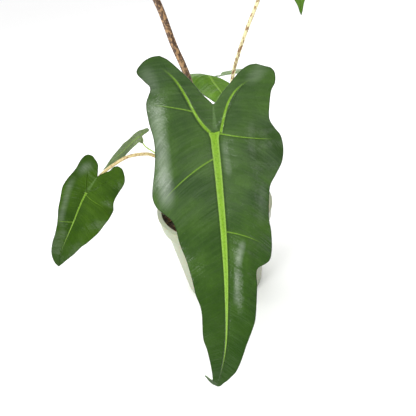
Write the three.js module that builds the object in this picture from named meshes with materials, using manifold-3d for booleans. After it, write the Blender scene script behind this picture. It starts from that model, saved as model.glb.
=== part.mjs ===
// Potted arrow-leaved alocasia: seven mottled stalks with arrow-shaped blades, in a 12 cm nursery pot.
// Millimetres, +Z up. The origin is the middle of the pot's flat base, and the front leaf faces -Y.
import * as THREE from 'three';
import { mergeGeometries, mergeVertices } from 'three/addons/utils/BufferGeometryUtils.js';
import Module from 'manifold-3d';

const wasm = await Module();
wasm.setup();

// Driving dimensions
const GAP = 0.3;
const POT_HEIGHT = 107;
const RIM_RADIUS = 60;
const BASE_RADIUS = 43;
const WALL_TOP_RADIUS = 54.5;
const COLLAR_BOTTOM_RADIUS = 58.3;
const COLLAR_HEIGHT = 15;
const LIP_WIDTH = 4.5;
const LIP_DEPTH = 2.8;
const LIP_CHAMFER = 0.8;
const LIP_OVERHANG = 0.6;
const FOOT_BEVEL = 1.5;
const WALL = 1.6;
const FLOOR = 2;
const ROUND_SEGMENTS = 48;
const DRAIN_HOLES = 6;
const DRAIN_HOLE_RADIUS = 4;
const DRAIN_RING_RADIUS = 31;
const DRAIN_SEGMENTS = 16;
const SOIL_LEVEL = 96;
const SOIL_RINGS = 10;
const SOIL_ROUGHNESS = 1.3;
const CROWN_RADIUS = 14;
const CROWN_BOTTOM = 66;
const CROWN_TOP = 103;
const CROWN_SEGMENTS = 20;
const CROWN_DOME = 5;
const CROWN_RINGS = 5;
const SCAR_DEPTH = 0.8;
const PETIOLE_SIDES = 8;
const PETIOLE_STEPS = 16;
const SHEATH_POWER = 6;
const STALK_THICKENING = 0.25;
const RIB_FADE = 0.8;
const RIB_WIDTH_SHARE = 0.015;
const BOSS_SHARE = 0.06;
const CLEFT_SHARE = 0.25;

// Colours, as seen on the plant
const POT_COLOUR = 0xb7c2a6;
const SOIL_COLOUR = 0x4a3426;
const CROWN_COLOUR = 0x6f5640;
const DARK_GREEN = 0x2f5e2c;
const BRIGHT_GREEN = 0x4c7c1e;
const GREY_GREEN = 0x5f7f52;
const BROWN_STALK = 0x7a6048;
const TAN_STALK = 0xb09a5c;
const GREEN_STALK = 0x9db35c;

// Flat patterns of the blades, in mm: u runs from the stalk's joint to the tip, v from the midrib outwards.
// notch: depth of the cleft; inner: cleft to lobe end; margin: lobe end, past the joint at u 0, to the tip;
// rib: the lobe's own rib. A blade stretches its pattern until its length is that of its midrib.
const FRONT_PATTERN = {
  length: 226.6,
  notch: -21,
  left: {
    inner: [[-21, 0], [-24.5, 3], [-30.5, 8], [-40.5, 14.7], [-48.5, 21.5], [-55.5, 28], [-59, 33.5]],
    margin: [
      [-59, 33.5], [-58.7, 39], [-56, 45], [-50, 50], [-43, 46], [-37, 43], [-25, 48], [-12, 48], [0, 46],
      [11, 46], [23, 48], [35, 51], [44, 52], [52, 49], [57, 44], [63, 38], [70, 35], [81, 33],
      [94, 29], [111, 25], [121, 23], [134, 19], [158, 17.8], [170, 14.2], [180, 11.3], [189, 8.7],
      [198, 6.3], [206, 4.4], [212, 3.3], [220, 1.6], [226.6, 0],
    ],
    rib: [[0, 0], [-14, 12], [-28, 17], [-38, 22], [-46, 28], [-59, 33.5]],
  },
  right: {
    inner: [[-21, 0], [-23.5, 3], [-29.5, 7], [-36.3, 13], [-44.5, 20.5], [-48, 26.5], [-48.5, 31.5]],
    margin: [
      [-48.5, 31.5], [-46.5, 37.5], [-45, 41.5], [-41.5, 44], [-35, 44], [-28, 41], [-9, 40], [0, 44],
      [7, 49], [16, 50], [27, 47], [36, 41], [44, 36], [55, 34], [66, 33], [75, 34], [86, 34],
      [94, 32.6], [97.4, 29.7], [100.6, 23.6], [104.9, 22.2], [114, 22.6], [133, 22], [142, 21.2], [150, 19],
      [161, 15.8], [171, 14], [181, 12.5], [188.5, 11], [195, 8.4], [200, 6.5], [204.5, 4.3],
      [210, 3.4], [216, 3.4], [221, 2.3], [226.6, 0],
    ],
    rib: [[0, 0], [-15, 10], [-27, 16], [-36, 22], [-41, 27], [-48.5, 31.5]],
  },
};

const LEFT_PATTERN = {
  length: 74.5,
  notch: -18,
  left: {
    inner: [[-18, 0], [-23, 3], [-28, 7], [-31, 15]],
    margin: [
      [-31, 15], [-29, 20], [-23, 22], [-12, 22], [0, 23], [6, 23], [18, 20], [30, 16], [45, 12],
      [54, 11], [64, 9], [72, 4.5], [74.5, 0],
    ],
    rib: [[0, 0], [-10, 7], [-20, 12], [-31, 15]],
  },
  right: {
    inner: [[-18, 0], [-25, 4], [-29, 7.2], [-34, 8.7], [-37, 11.5]],
    margin: [
      [-37, 11.5], [-37.5, 16], [-36, 20], [-32, 25], [-28, 27], [-19, 27], [-9, 29], [0, 31],
      [6, 32], [16, 33], [24, 29], [32, 25], [40, 21], [46, 17], [57, 12], [67, 5.5], [74.5, 0],
    ],
    rib: [[0, 0], [-12, 8], [-24, 12], [-37, 11.5]],
  },
};

const YOUNG_PATTERN = {
  length: 100,
  notch: -16,
  left: {
    inner: [[-16, 0], [-25, 7], [-33, 12], [-40, 19]],
    margin: [
      [-40, 19], [-37, 25], [-27, 28], [-14, 25], [0, 27], [12, 27], [25, 23], [38, 23], [50, 19],
      [65, 14], [80, 7.5], [90, 3], [96, 1.5], [100, 0],
    ],
    rib: [[0, 0], [-12, 9], [-25, 15], [-40, 19]],
  },
  right: {
    inner: [[-16, 0], [-24, 7], [-32, 13], [-38, 20]],
    margin: [
      [-38, 20], [-34, 27], [-22, 27], [-10, 25], [0, 28], [10, 28], [22, 25], [34, 21], [46, 20],
      [60, 15], [75, 9], [88, 3.5], [95, 1.7], [100, 0],
    ],
    rib: [[0, 0], [-12, 9], [-24, 15], [-38, 20]],
  },
};

// One entry a leaf. spine: the midrib in space, from between the lobe ends through the joint (second point)
// to the tip. face: the way the upper side looks, fold: how steeply each half rises from the midrib, and
// curl: how far it bends back over its width, in degrees; each at the lobes, the joint and the tip.
// lobeStretch and widen: how long the lobes and how wide the blade are, against the pattern.
// ripple, waves and phase: height, number and start (left, right) of the waves along the margin.
// stalk: the stalk's way from the crown to the blade's underside, with its radius at the blade and sheath.
const LEAVES = [
  {
    name: 'front',
    pattern: FRONT_PATTERN,
    spine: [
      [10, -74, 277], [7, -79, 226], [5, -101, 198], [2, -126, 169], [-3, -147, 131],
      [-10, -163, 88], [-20, -167.5, 51.5], [-25, -163.5, 43.5], [-31.8, -153.4, 39],
    ],
    face: [[0, -0.45, 0.89], [0, -0.75, 0.66], [-0.2, -0.95, 0.2]],
    fold: [14, 10, 6],
    curl: [12, 22, 16],
    lobeStretch: 1,
    widen: 1,
    halfWidth: 48,
    ripple: 3,
    waves: 3.6,
    phase: [0.1, 0.55],
    thickness: 0.9,
    ribDepth: 1.6,
    stations: [30, 12],
    across: 6,
    blade: DARK_GREEN,
    stalkColour: BROWN_STALK,
    stalk: [[0, -10, 97], [0.5, -14, 125], [1.5, -23, 165], [3, -38, 200], [5, -60, 218]],
    stalkRadius: [2.4, 3.4],
  },
  {
    name: 'left',
    pattern: LEFT_PATTERN,
    spine: [[-91, -14, 181], [-115, -28, 160], [-130, -46, 142], [-145, -58, 122], [-152, -62, 107]],
    face: [[-0.2, -0.7, 0.7], [-0.25, -0.75, 0.6], [-0.3, -0.85, 0.45]],
    fold: [12, 12, 8],
    curl: [14, 14, 14],
    lobeStretch: 1,
    widen: 1,
    halfWidth: 26,
    ripple: 1.2,
    waves: 3,
    phase: [0.2, 0.6],
    thickness: 0.8,
    ribDepth: 0.8,
    stations: [18, 8],
    across: 4,
    blade: BRIGHT_GREEN,
    stalkColour: TAN_STALK,
    stalk: [
      [-9.5, -3.5, 97], [-16, -8, 125], [-29, -16, 164], [-47.3, -22, 184], [-57.9, -21, 187],
      [-72.2, -19, 185.3], [-86, -17, 178.6], [-94.6, -16, 173.5], [-102.5, -15.5, 167.8], [-109, -19, 163],
    ],
    stalkRadius: [1.4, 3.2],
  },
  {
    name: 'left_small',
    pattern: YOUNG_PATTERN,
    spine: [[-51, 20, 182.4], [-63, 25, 181.8], [-82.1, 29, 167.4], [-93, 31, 159.4], [-109.2, 33, 147.2]],
    face: [[-0.68, -0.12, 0.8], [-0.39, -0.11, 0.8], [-0.56, -0.78, 0.8]],
    fold: [-2, 3, 3],
    curl: [-6, -6, -6],
    lobeStretch: 0.35,
    widen: 0.59,
    halfWidth: 16,
    ripple: 1,
    waves: 2.5,
    phase: [0.3, 0.7],
    thickness: 0.8,
    ribDepth: 0.6,
    stations: [14, 7],
    across: 4,
    blade: GREY_GREEN,
    stalkColour: GREEN_STALK,
    stalk: [[-8.5, 5.5, 97], [-15, 10, 118], [-32, 17, 143], [-51, 24, 162], [-59.5, 25.5, 170.5]],
    stalkRadius: [0.7, 2.6],
  },
  {
    name: 'back',
    pattern: YOUNG_PATTERN,
    spine: [
      [2.4, 58, 208.4], [11.9, 40, 227.2], [18, 26, 221.9], [24.2, 12, 215.5], [33.5, 0, 211.1],
      [43.5, -10, 204.1],
    ],
    face: [[0.48, -0.27, 0.88], [0.5, -0.27, 0.86], [0.07, -0.34, 0.95]],
    fold: [2, 2, 4],
    curl: [27, 27, 14],
    lobeStretch: 0.8,
    widen: 1.2,
    halfWidth: 18,
    ripple: 1.2,
    waves: 2.5,
    phase: [0.1, 0.6],
    thickness: 0.8,
    ribDepth: 0.7,
    stations: [14, 7],
    across: 4,
    blade: BRIGHT_GREEN,
    stalkColour: GREEN_STALK,
    stalk: [[1, 10, 97], [3, 13, 125], [8.5, 17, 160], [14.5, 21.5, 190], [17.6, 25, 207.3], [16.5, 30, 217]],
    stalkRadius: [1.5, 3],
  },
  {
    name: 'back_right',
    pattern: YOUNG_PATTERN,
    spine: [[40.1, 46, 221.7], [45.9, 62, 217.4], [53.3, 86, 211.3], [58.6, 110, 202.2], [65.6, 134, 194.4]],
    face: [[0, 0.29, 0.95], [0, 0.29, 0.95], [0, 0.32, 0.94]],
    fold: [6.6, 6.6, 6.6],
    curl: [13.4, 13.4, 13.4],
    lobeStretch: 0.85,
    widen: 0.92,
    halfWidth: 20,
    ripple: 1.2,
    waves: 2.5,
    phase: [0.4, 0.9],
    thickness: 0.8,
    ribDepth: 0.7,
    stations: [14, 7],
    across: 4,
    blade: BRIGHT_GREEN,
    stalkColour: TAN_STALK,
    stalk: [[9, 4.5, 97], [13.5, 9, 122], [24, 27, 165], [37, 47, 203]],
    stalkRadius: [1.5, 3],
  },
  {
    name: 'right_tall',
    pattern: YOUNG_PATTERN,
    spine: [[94, -3, 386], [95, -8, 364], [94, -14, 343], [91, -14, 322], [89.5, -9, 301], [91, -6, 279.6]],
    face: [[-0.2, -0.8, 0.5], [-0.3, -0.9, 0.3], [-0.4, -0.9, 0]],
    fold: [14, 16, 14],
    curl: [14, 18, 14],
    lobeStretch: 1,
    widen: 1,
    halfWidth: 22,
    ripple: 1.4,
    waves: 2.5,
    phase: [0.15, 0.7],
    thickness: 0.8,
    ribDepth: 0.8,
    stations: [16, 7],
    across: 4,
    blade: BRIGHT_GREEN,
    stalkColour: TAN_STALK,
    stalk: [
      [9, -5, 97], [12, -9, 125], [20, -17, 190], [29.3, -20, 241], [36.3, -20, 261.5],
      [45, -19, 280], [55.2, -17, 298.8], [68, -8, 322], [80, 2, 342], [91, 6, 357],
    ],
    stalkRadius: [1.3, 3],
  },
  {
    name: 'left_tall',
    pattern: FRONT_PATTERN,
    spine: [
      [-68, 10, 434], [-106, 12, 424], [-140, 15, 408], [-178, 18, 378], [-212, 20, 338],
      [-236, 22, 292], [-250, 24, 252],
    ],
    face: [[0.1, -0.25, 0.95], [-0.2, -0.3, 0.9], [-0.9, -0.3, 0.3]],
    fold: [16, 14, 8],
    curl: [14, 24, 18],
    lobeStretch: 1,
    widen: 1,
    halfWidth: 48,
    ripple: 4,
    waves: 3.2,
    phase: [0.35, 0.8],
    thickness: 0.9,
    ribDepth: 1.8,
    stations: [22, 9],
    across: 5,
    blade: DARK_GREEN,
    stalkColour: BROWN_STALK,
    stalk: [
      [0, 0, 97], [0, 1, 125], [0, 2.8, 190], [-6.6, 4, 240.4], [-14, 4.8, 270], [-21.6, 6, 305.4],
      [-38, 8, 350], [-60, 9, 388], [-85, 11, 412],
    ],
    stalkRadius: [2.5, 4.2],
  },
];

// Solids and meshes

function toSolid(geometry) {
  geometry.deleteAttribute('normal');
  geometry.deleteAttribute('uv');
  const merged = mergeVertices(geometry, 1e-4);
  return new wasm.Manifold(new wasm.Mesh({
    numProp: 3,
    vertProperties: new Float32Array(merged.getAttribute('position').array),
    triVerts: new Uint32Array(merged.getIndex().array),
  }));
}

function toGeometry(solid) {
  const mesh = solid.getMesh();
  const geometry = new THREE.BufferGeometry();
  geometry.setAttribute('position', new THREE.BufferAttribute(mesh.vertProperties, 3));
  geometry.setIndex(new THREE.BufferAttribute(mesh.triVerts, 1));
  geometry.computeVertexNormals();
  return geometry;
}

function largestBody(solid) {
  const bodies = solid.decompose();
  bodies.sort((a, b) => b.volume() - a.volume());
  return bodies[0];
}

function makeMesh(name, geometry, color, roughness) {
  const material = new THREE.MeshStandardMaterial({ color, roughness, metalness: 0 });
  const mesh = new THREE.Mesh(geometry, material);
  mesh.name = name;
  return mesh;
}

// A body of revolution about Z, from its profile of [radius, height]
function turned(profile, segments) {
  const points = profile.map(([radius, height]) => new THREE.Vector2(radius, height));
  const geometry = new THREE.LatheGeometry(points, segments);
  geometry.rotateX(Math.PI / 2);
  return geometry;
}

// The pot and what fills it

function wallRadius(height) {
  return THREE.MathUtils.mapLinear(height, 0, POT_HEIGHT - COLLAR_HEIGHT, BASE_RADIUS, WALL_TOP_RADIUS);
}

function collarRadius(height) {
  const bottom = POT_HEIGHT - COLLAR_HEIGHT;
  const top = POT_HEIGHT - LIP_DEPTH;
  return THREE.MathUtils.mapLinear(height, bottom, top, COLLAR_BOTTOM_RADIUS, RIM_RADIUS - LIP_OVERHANG);
}

function makePot() {
  const step = POT_HEIGHT - COLLAR_HEIGHT;
  const lipBottom = POT_HEIGHT - LIP_DEPTH;
  const profile = [
    [0, 0],
    [BASE_RADIUS - FOOT_BEVEL, 0],
    [wallRadius(FOOT_BEVEL), FOOT_BEVEL],
    [wallRadius(step), step],
    [collarRadius(step), step],
    [collarRadius(lipBottom), lipBottom],
    [RIM_RADIUS, lipBottom + LIP_CHAMFER],
    [RIM_RADIUS, POT_HEIGHT - LIP_CHAMFER],
    [RIM_RADIUS - LIP_CHAMFER, POT_HEIGHT],
    [RIM_RADIUS - LIP_WIDTH + LIP_CHAMFER, POT_HEIGHT],
    [RIM_RADIUS - LIP_WIDTH, POT_HEIGHT - LIP_CHAMFER],
    [RIM_RADIUS - LIP_WIDTH, lipBottom],
    [collarRadius(lipBottom) - WALL, lipBottom - WALL],
    [collarRadius(step) - WALL, step + WALL],
    [wallRadius(step) - WALL, step],
    [wallRadius(FLOOR) - WALL, FLOOR],
    [0, FLOOR],
  ];
  let pot = toSolid(turned(profile, ROUND_SEGMENTS));
  for (let i = 0; i < DRAIN_HOLES; i += 1) {
    const angle = (i * 2 * Math.PI) / DRAIN_HOLES;
    const hole = new THREE.CylinderGeometry(DRAIN_HOLE_RADIUS, DRAIN_HOLE_RADIUS, 4 * FLOOR, DRAIN_SEGMENTS);
    hole.rotateX(Math.PI / 2);
    hole.translate(DRAIN_RING_RADIUS * Math.cos(angle), DRAIN_RING_RADIUS * Math.sin(angle), FLOOR / 2);
    pot = pot.subtract(toSolid(hole));
  }
  return toGeometry(pot);
}

// Uneven height of the top of the soil, from a few crossed waves that die out at the wall
function soilBump(x, y) {
  const edge = Math.min(1, Math.hypot(x, y) / WALL_TOP_RADIUS);
  const coarse = Math.sin(0.21 * x + 0.7) * Math.cos(0.19 * y - 0.4);
  const fine = Math.sin(0.63 * x - 0.5 * y + 1.1) + Math.cos(0.57 * y + 0.41 * x);
  return SOIL_ROUGHNESS * (1 - edge ** 4) * (coarse + 0.5 * fine);
}

function makeSoil() {
  const step = POT_HEIGHT - COLLAR_HEIGHT;
  const topRadius = collarRadius(SOIL_LEVEL) - WALL - GAP;
  const profile = [
    [0, FLOOR + GAP],
    [wallRadius(FLOOR) - WALL - GAP, FLOOR + GAP],
    [wallRadius(step) - WALL - GAP, step + GAP],
    [collarRadius(step) - WALL - GAP, step + WALL + GAP],
  ];
  for (let ring = 0; ring < SOIL_RINGS; ring += 1) {
    profile.push([topRadius * (1 - ring / SOIL_RINGS), SOIL_LEVEL]);
  }
  profile.push([0, SOIL_LEVEL]);
  const geometry = turned(profile, ROUND_SEGMENTS);
  const spots = geometry.getAttribute('position');
  for (let i = 0; i < spots.count; i += 1) {
    if (spots.getZ(i) > SOIL_LEVEL - 0.01) {
      spots.setZ(i, SOIL_LEVEL + soilBump(spots.getX(i), spots.getY(i)));
    }
  }
  return toGeometry(toSolid(geometry).subtract(crownSolid(GAP)));
}

// The short rhizome stub that carries the stalks, ringed by old leaf scars; grow makes room round it
function crownSolid(grow) {
  const profile = [[0, CROWN_BOTTOM - grow]];
  for (let i = 0; i <= CROWN_RINGS; i += 1) {
    const height = THREE.MathUtils.lerp(CROWN_BOTTOM, CROWN_TOP - CROWN_DOME, i / CROWN_RINGS);
    const scar = i % 2 === 0 ? SCAR_DEPTH : 0;
    profile.push([CROWN_RADIUS - scar + grow, i === 0 ? height - grow : height]);
  }
  profile.push([CROWN_RADIUS * 0.7 + grow, CROWN_TOP - 1 + grow]);
  profile.push([0, CROWN_TOP + grow]);
  return toSolid(turned(profile, CROWN_SEGMENTS));
}

// The blades

// Value at the lobes, the joint or the tip, blended by the place u along the midrib
function blend(values, u, course) {
  const far = u < 0 ? values[0] : values[2];
  const share = u < 0 ? u / course.start : u / course.end;
  return THREE.MathUtils.lerp(values[1], far, THREE.MathUtils.clamp(share, 0, 1));
}

// The midrib as a curve measured from the joint: course.start < 0 at the lobes, course.end at the tip
function midribCourse(leaf) {
  const points = leaf.spine.map((point) => new THREE.Vector3(...point));
  const curve = new THREE.CatmullRomCurve3(points, false, 'catmullrom', 0.5);
  const stepsEach = 40;
  curve.arcLengthDivisions = stepsEach * (points.length - 1);
  const lengths = curve.getLengths();
  const total = lengths[lengths.length - 1];
  return { curve, total, start: -lengths[stepsEach], end: total - lengths[stepsEach] };
}

// Point of the blade's middle surface at the flat place (u, v), v > 0 on the left
function bladePoint(leaf, course, u, v) {
  const inside = THREE.MathUtils.clamp(u, course.start, course.end);
  const share = (inside - course.start) / course.total;
  const along = course.curve.getTangentAt(share);
  const point = course.curve.getPointAt(share).addScaledVector(along, u - inside);
  const face = new THREE.Vector3(
    blend(leaf.face.map((f) => f[0]), inside, course),
    blend(leaf.face.map((f) => f[1]), inside, course),
    blend(leaf.face.map((f) => f[2]), inside, course),
  );
  const up = face.addScaledVector(along, -face.dot(along)).normalize();
  const left = new THREE.Vector3().crossVectors(along, up);
  const rise = THREE.MathUtils.degToRad(blend(leaf.fold, u, course));
  const bend = THREE.MathUtils.degToRad(blend(leaf.curl, u, course)) / leaf.halfWidth;
  const reach = Math.abs(v);
  const out = (Math.sin(rise) - Math.sin(rise - bend * reach)) / bend;
  const phase = v > 0 ? leaf.phase[0] : leaf.phase[1];
  const wave = Math.sin(2 * Math.PI * ((leaf.waves * u) / course.end + phase));
  const height = (Math.cos(rise - bend * reach) - Math.cos(rise)) / bend
    + leaf.ripple * (reach / leaf.halfWidth) ** 2 * wave;
  return point.addScaledVector(left, out * Math.sign(v)).addScaledVector(up, height);
}

function spline(points) {
  return new THREE.SplineCurve(points.map(([u, v]) => new THREE.Vector2(u, v)));
}

// The lines that bound one half's three patches, each run from the joint outwards with q from 0 to 1
function halfLines(pattern, half) {
  const margin = spline(half.margin);
  const abreast = half.margin.findIndex(([u]) => u === 0);
  const stepsEach = 20;
  margin.arcLengthDivisions = stepsEach * (half.margin.length - 1);
  const lengths = margin.getLengths();
  const shareAbreast = lengths[stepsEach * abreast] / lengths[lengths.length - 1];
  const inner = spline(half.inner);
  const rib = spline(half.rib);
  return {
    midrib: (q) => new THREE.Vector2(pattern.length * q, 0),
    rib: (q) => rib.getPoint(q),
    side: (q) => margin.getPointAt(THREE.MathUtils.lerp(shareAbreast, 1, q)),
    outer: (q) => margin.getPointAt(THREE.MathUtils.lerp(shareAbreast, 0, q)),
    inner: (q) => (q <= CLEFT_SHARE
      ? new THREE.Vector2((pattern.notch * q) / CLEFT_SHARE, 0)
      : inner.getPoint((q - CLEFT_SHARE) / (1 - CLEFT_SHARE))),
  };
}

// Depth of the swelling under the joint, where the ribs and the stalk meet
function bossDepth(leaf, place) {
  const reach = BOSS_SHARE * leaf.pattern.length;
  return leaf.ribDepth * Math.max(0, 1 - place.length() / reach);
}

// Grid between two lines of the flat pattern; its z holds the depth of the rib under the first line
function flatPatch(leaf, stations, across, sign, from, to) {
  const patch = new THREE.PlaneGeometry(1, 1, stations, across);
  patch.deleteAttribute('normal');
  patch.deleteAttribute('uv');
  const spots = patch.getAttribute('position');
  const ribWidth = RIB_WIDTH_SHARE * leaf.pattern.length;
  for (let i = 0; i < spots.count; i += 1) {
    const q = Math.round((spots.getX(i) + 0.5) * stations) / stations;
    const row = Math.round((spots.getY(i) + 0.5) * across);
    const start = from(q);
    const end = to(q);
    const first = Math.min(ribWidth / Math.max(start.distanceTo(end), ribWidth), 1 / across);
    const t = row === 0 ? 0 : first + ((1 - first) * (row - 1)) / (across - 1);
    const place = start.lerp(end, t);
    const depth = row === 0 ? leaf.ribDepth * (1 - RIB_FADE * q) : bossDepth(leaf, place);
    spots.setXYZ(i, place.x, sign * place.y, depth);
  }
  return patch;
}

// The whole flat pattern as one welded sheet, every triangle wound alike
function flatSheet(leaf) {
  const { pattern, across } = leaf;
  const [sideStations, lobeStations] = leaf.stations;
  const patches = [];
  for (const [half, sign] of [[pattern.left, 1], [pattern.right, -1]]) {
    const lines = halfLines(pattern, half);
    patches.push(flatPatch(leaf, sideStations, across, sign, lines.midrib, lines.side));
    patches.push(flatPatch(leaf, lobeStations, across, sign, lines.rib, lines.outer));
    patches.push(flatPatch(leaf, lobeStations, across - 1, sign, lines.rib, lines.inner));
  }
  const sheet = mergeVertices(mergeGeometries(patches), 1e-3);
  const spots = sheet.getAttribute('position');
  const corners = sheet.getIndex().array;
  const kept = [];
  for (let i = 0; i < corners.length; i += 3) {
    const [a, b, c] = [corners[i], corners[i + 1], corners[i + 2]];
    const turn = (spots.getX(b) - spots.getX(a)) * (spots.getY(c) - spots.getY(a))
      - (spots.getX(c) - spots.getX(a)) * (spots.getY(b) - spots.getY(a));
    if (Math.abs(turn) > 1e-4) {
      kept.push(...(turn > 0 ? [a, c, b] : [a, b, c]));
    }
  }
  sheet.setIndex(kept);
  return sheet;
}

// Edges that belong to one triangle only
function borderEdges(corners) {
  const seen = new Map();
  for (let i = 0; i < corners.length; i += 3) {
    for (let k = 0; k < 3; k += 1) {
      const a = corners[i + k];
      const b = corners[i + ((k + 1) % 3)];
      if (seen.has(`${b},${a}`)) {
        seen.delete(`${b},${a}`);
      } else {
        seen.set(`${a},${b}`, [a, b]);
      }
    }
  }
  return [...seen.values()];
}

// The bent blade with its thickness: both faces share one set of triangles, and a wall runs round the margin
function bladeSolid(leaf, grow) {
  const course = midribCourse(leaf);
  const stretch = course.end / leaf.pattern.length;
  const sheet = flatSheet(leaf);
  const spots = sheet.getAttribute('position');
  const depths = [];
  for (let i = 0; i < spots.count; i += 1) {
    depths.push(spots.getZ(i));
    const u = spots.getX(i) * stretch * (spots.getX(i) < 0 ? leaf.lobeStretch : 1);
    const place = bladePoint(leaf, course, u, spots.getY(i) * stretch * leaf.widen);
    spots.setXYZ(i, place.x, place.y, place.z);
  }
  sheet.computeVertexNormals();
  const normals = sheet.getAttribute('normal');
  const positions = [];
  const half = leaf.thickness / 2 + grow;
  for (const offset of [() => half, (i) => -half - depths[i]]) {
    for (let i = 0; i < spots.count; i += 1) {
      const place = new THREE.Vector3().fromBufferAttribute(spots, i);
      const normal = new THREE.Vector3().fromBufferAttribute(normals, i);
      positions.push(...place.addScaledVector(normal, offset(i)).toArray());
    }
  }
  const corners = Array.from(sheet.getIndex().array);
  const under = spots.count;
  const faces = [...corners];
  for (let i = 0; i < corners.length; i += 3) {
    faces.push(corners[i] + under, corners[i + 2] + under, corners[i + 1] + under);
  }
  for (const [a, b] of borderEdges(corners)) {
    faces.push(b, a, a + under, b, a + under, b + under);
  }
  const geometry = new THREE.BufferGeometry();
  geometry.setAttribute('position', new THREE.Float32BufferAttribute(positions, 3));
  geometry.setIndex(faces);
  return toSolid(geometry);
}

// The stalks

// A cylinder bent along the stalk's curve, thicker downwards and widened to a sheath at its foot
function petioleSolid(leaf) {
  const course = midribCourse(leaf);
  const joint = bladePoint(leaf, course, 0, 0);
  const ahead = bladePoint(leaf, course, 2, 0).sub(joint);
  const aside = bladePoint(leaf, course, 0, 2).sub(bladePoint(leaf, course, 0, -2));
  const down = new THREE.Vector3().crossVectors(ahead, aside).normalize();
  const belowJoint = leaf.thickness / 2 + leaf.ribDepth * 0.5;
  const points = leaf.stalk.map((point) => new THREE.Vector3(...point));
  points.push(joint.addScaledVector(down, belowJoint));
  const curve = new THREE.CatmullRomCurve3(points, false, 'catmullrom', 0.5);
  const frames = curve.computeFrenetFrames(PETIOLE_STEPS, false);
  const geometry = new THREE.CylinderGeometry(1, 1, 1, PETIOLE_SIDES, PETIOLE_STEPS);
  const spots = geometry.getAttribute('position');
  const [endRadius, footRadius] = leaf.stalkRadius;
  for (let i = 0; i < spots.count; i += 1) {
    const step = Math.round((spots.getY(i) + 0.5) * PETIOLE_STEPS);
    const share = step / PETIOLE_STEPS;
    const stalk = endRadius * (1 + STALK_THICKENING * (1 - share));
    const radius = stalk + (footRadius - endRadius) * (1 - share) ** SHEATH_POWER;
    const place = curve.getPointAt(share)
      .addScaledVector(frames.normals[step], -spots.getX(i) * radius)
      .addScaledVector(frames.binormals[step], spots.getZ(i) * radius);
    spots.setXYZ(i, place.x, place.y, place.z);
  }
  const solid = toSolid(geometry);
  return largestBody(solid.subtract(bladeSolid(leaf, GAP)).subtract(crownSolid(GAP)));
}

const plant = new THREE.Group();
plant.name = 'potted_alocasia';
plant.add(makeMesh('pot', makePot(), POT_COLOUR, 0.45));
plant.add(makeMesh('soil', makeSoil(), SOIL_COLOUR, 0.95));
plant.add(makeMesh('crown', toGeometry(crownSolid(0)), CROWN_COLOUR, 0.8));
for (const leaf of LEAVES) {
  plant.add(makeMesh(`petiole_${leaf.name}`, toGeometry(petioleSolid(leaf)), leaf.stalkColour, 0.55));
  plant.add(makeMesh(`blade_${leaf.name}`, toGeometry(bladeSolid(leaf, 0)), leaf.blade, 0.3));
}

export default plant;
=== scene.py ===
# Potted arrow-leaved alocasia: fine blades, stalks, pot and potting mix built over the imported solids.
# The plant's own sizes are in millimetres, and become metres when they are put into a mesh.
import bisect
import dataclasses
import math
import random

import bmesh
import bpy
from bpy.props import FloatProperty, FloatVectorProperty, IntProperty, PointerProperty
from mathutils import Matrix, Vector, noise


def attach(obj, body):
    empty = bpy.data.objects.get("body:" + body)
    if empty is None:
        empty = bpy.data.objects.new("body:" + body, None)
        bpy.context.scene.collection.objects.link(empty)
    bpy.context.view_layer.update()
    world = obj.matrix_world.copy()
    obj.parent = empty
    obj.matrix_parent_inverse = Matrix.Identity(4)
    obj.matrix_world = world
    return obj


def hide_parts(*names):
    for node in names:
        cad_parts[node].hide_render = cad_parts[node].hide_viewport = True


bl_info = {
    "name": "Potted alocasia",
    "version": (1, 0, 0),
    "blender": (4, 5, 0),
    "location": "View3D > Sidebar > Alocasia",
    "description": "An arrow-leaved alocasia in a nursery pot, piece by piece",
    "category": "Add Mesh",
}

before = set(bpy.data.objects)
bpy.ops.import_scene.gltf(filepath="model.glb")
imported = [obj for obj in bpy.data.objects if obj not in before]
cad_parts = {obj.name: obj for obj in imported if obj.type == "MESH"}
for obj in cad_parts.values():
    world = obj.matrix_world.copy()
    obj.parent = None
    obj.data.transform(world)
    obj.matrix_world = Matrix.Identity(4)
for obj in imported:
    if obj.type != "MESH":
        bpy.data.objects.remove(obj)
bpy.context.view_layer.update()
MM = 0.001


def shade(code):
    """Scene-linear colour of a hex code as it looks on a screen."""
    parts = [int(code[i:i + 2], 16) / 255 for i in (0, 2, 4)]
    return tuple(p / 12.92 if p <= 0.04045 else ((p + 0.055) / 1.055) ** 2.4 for p in parts)


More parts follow.
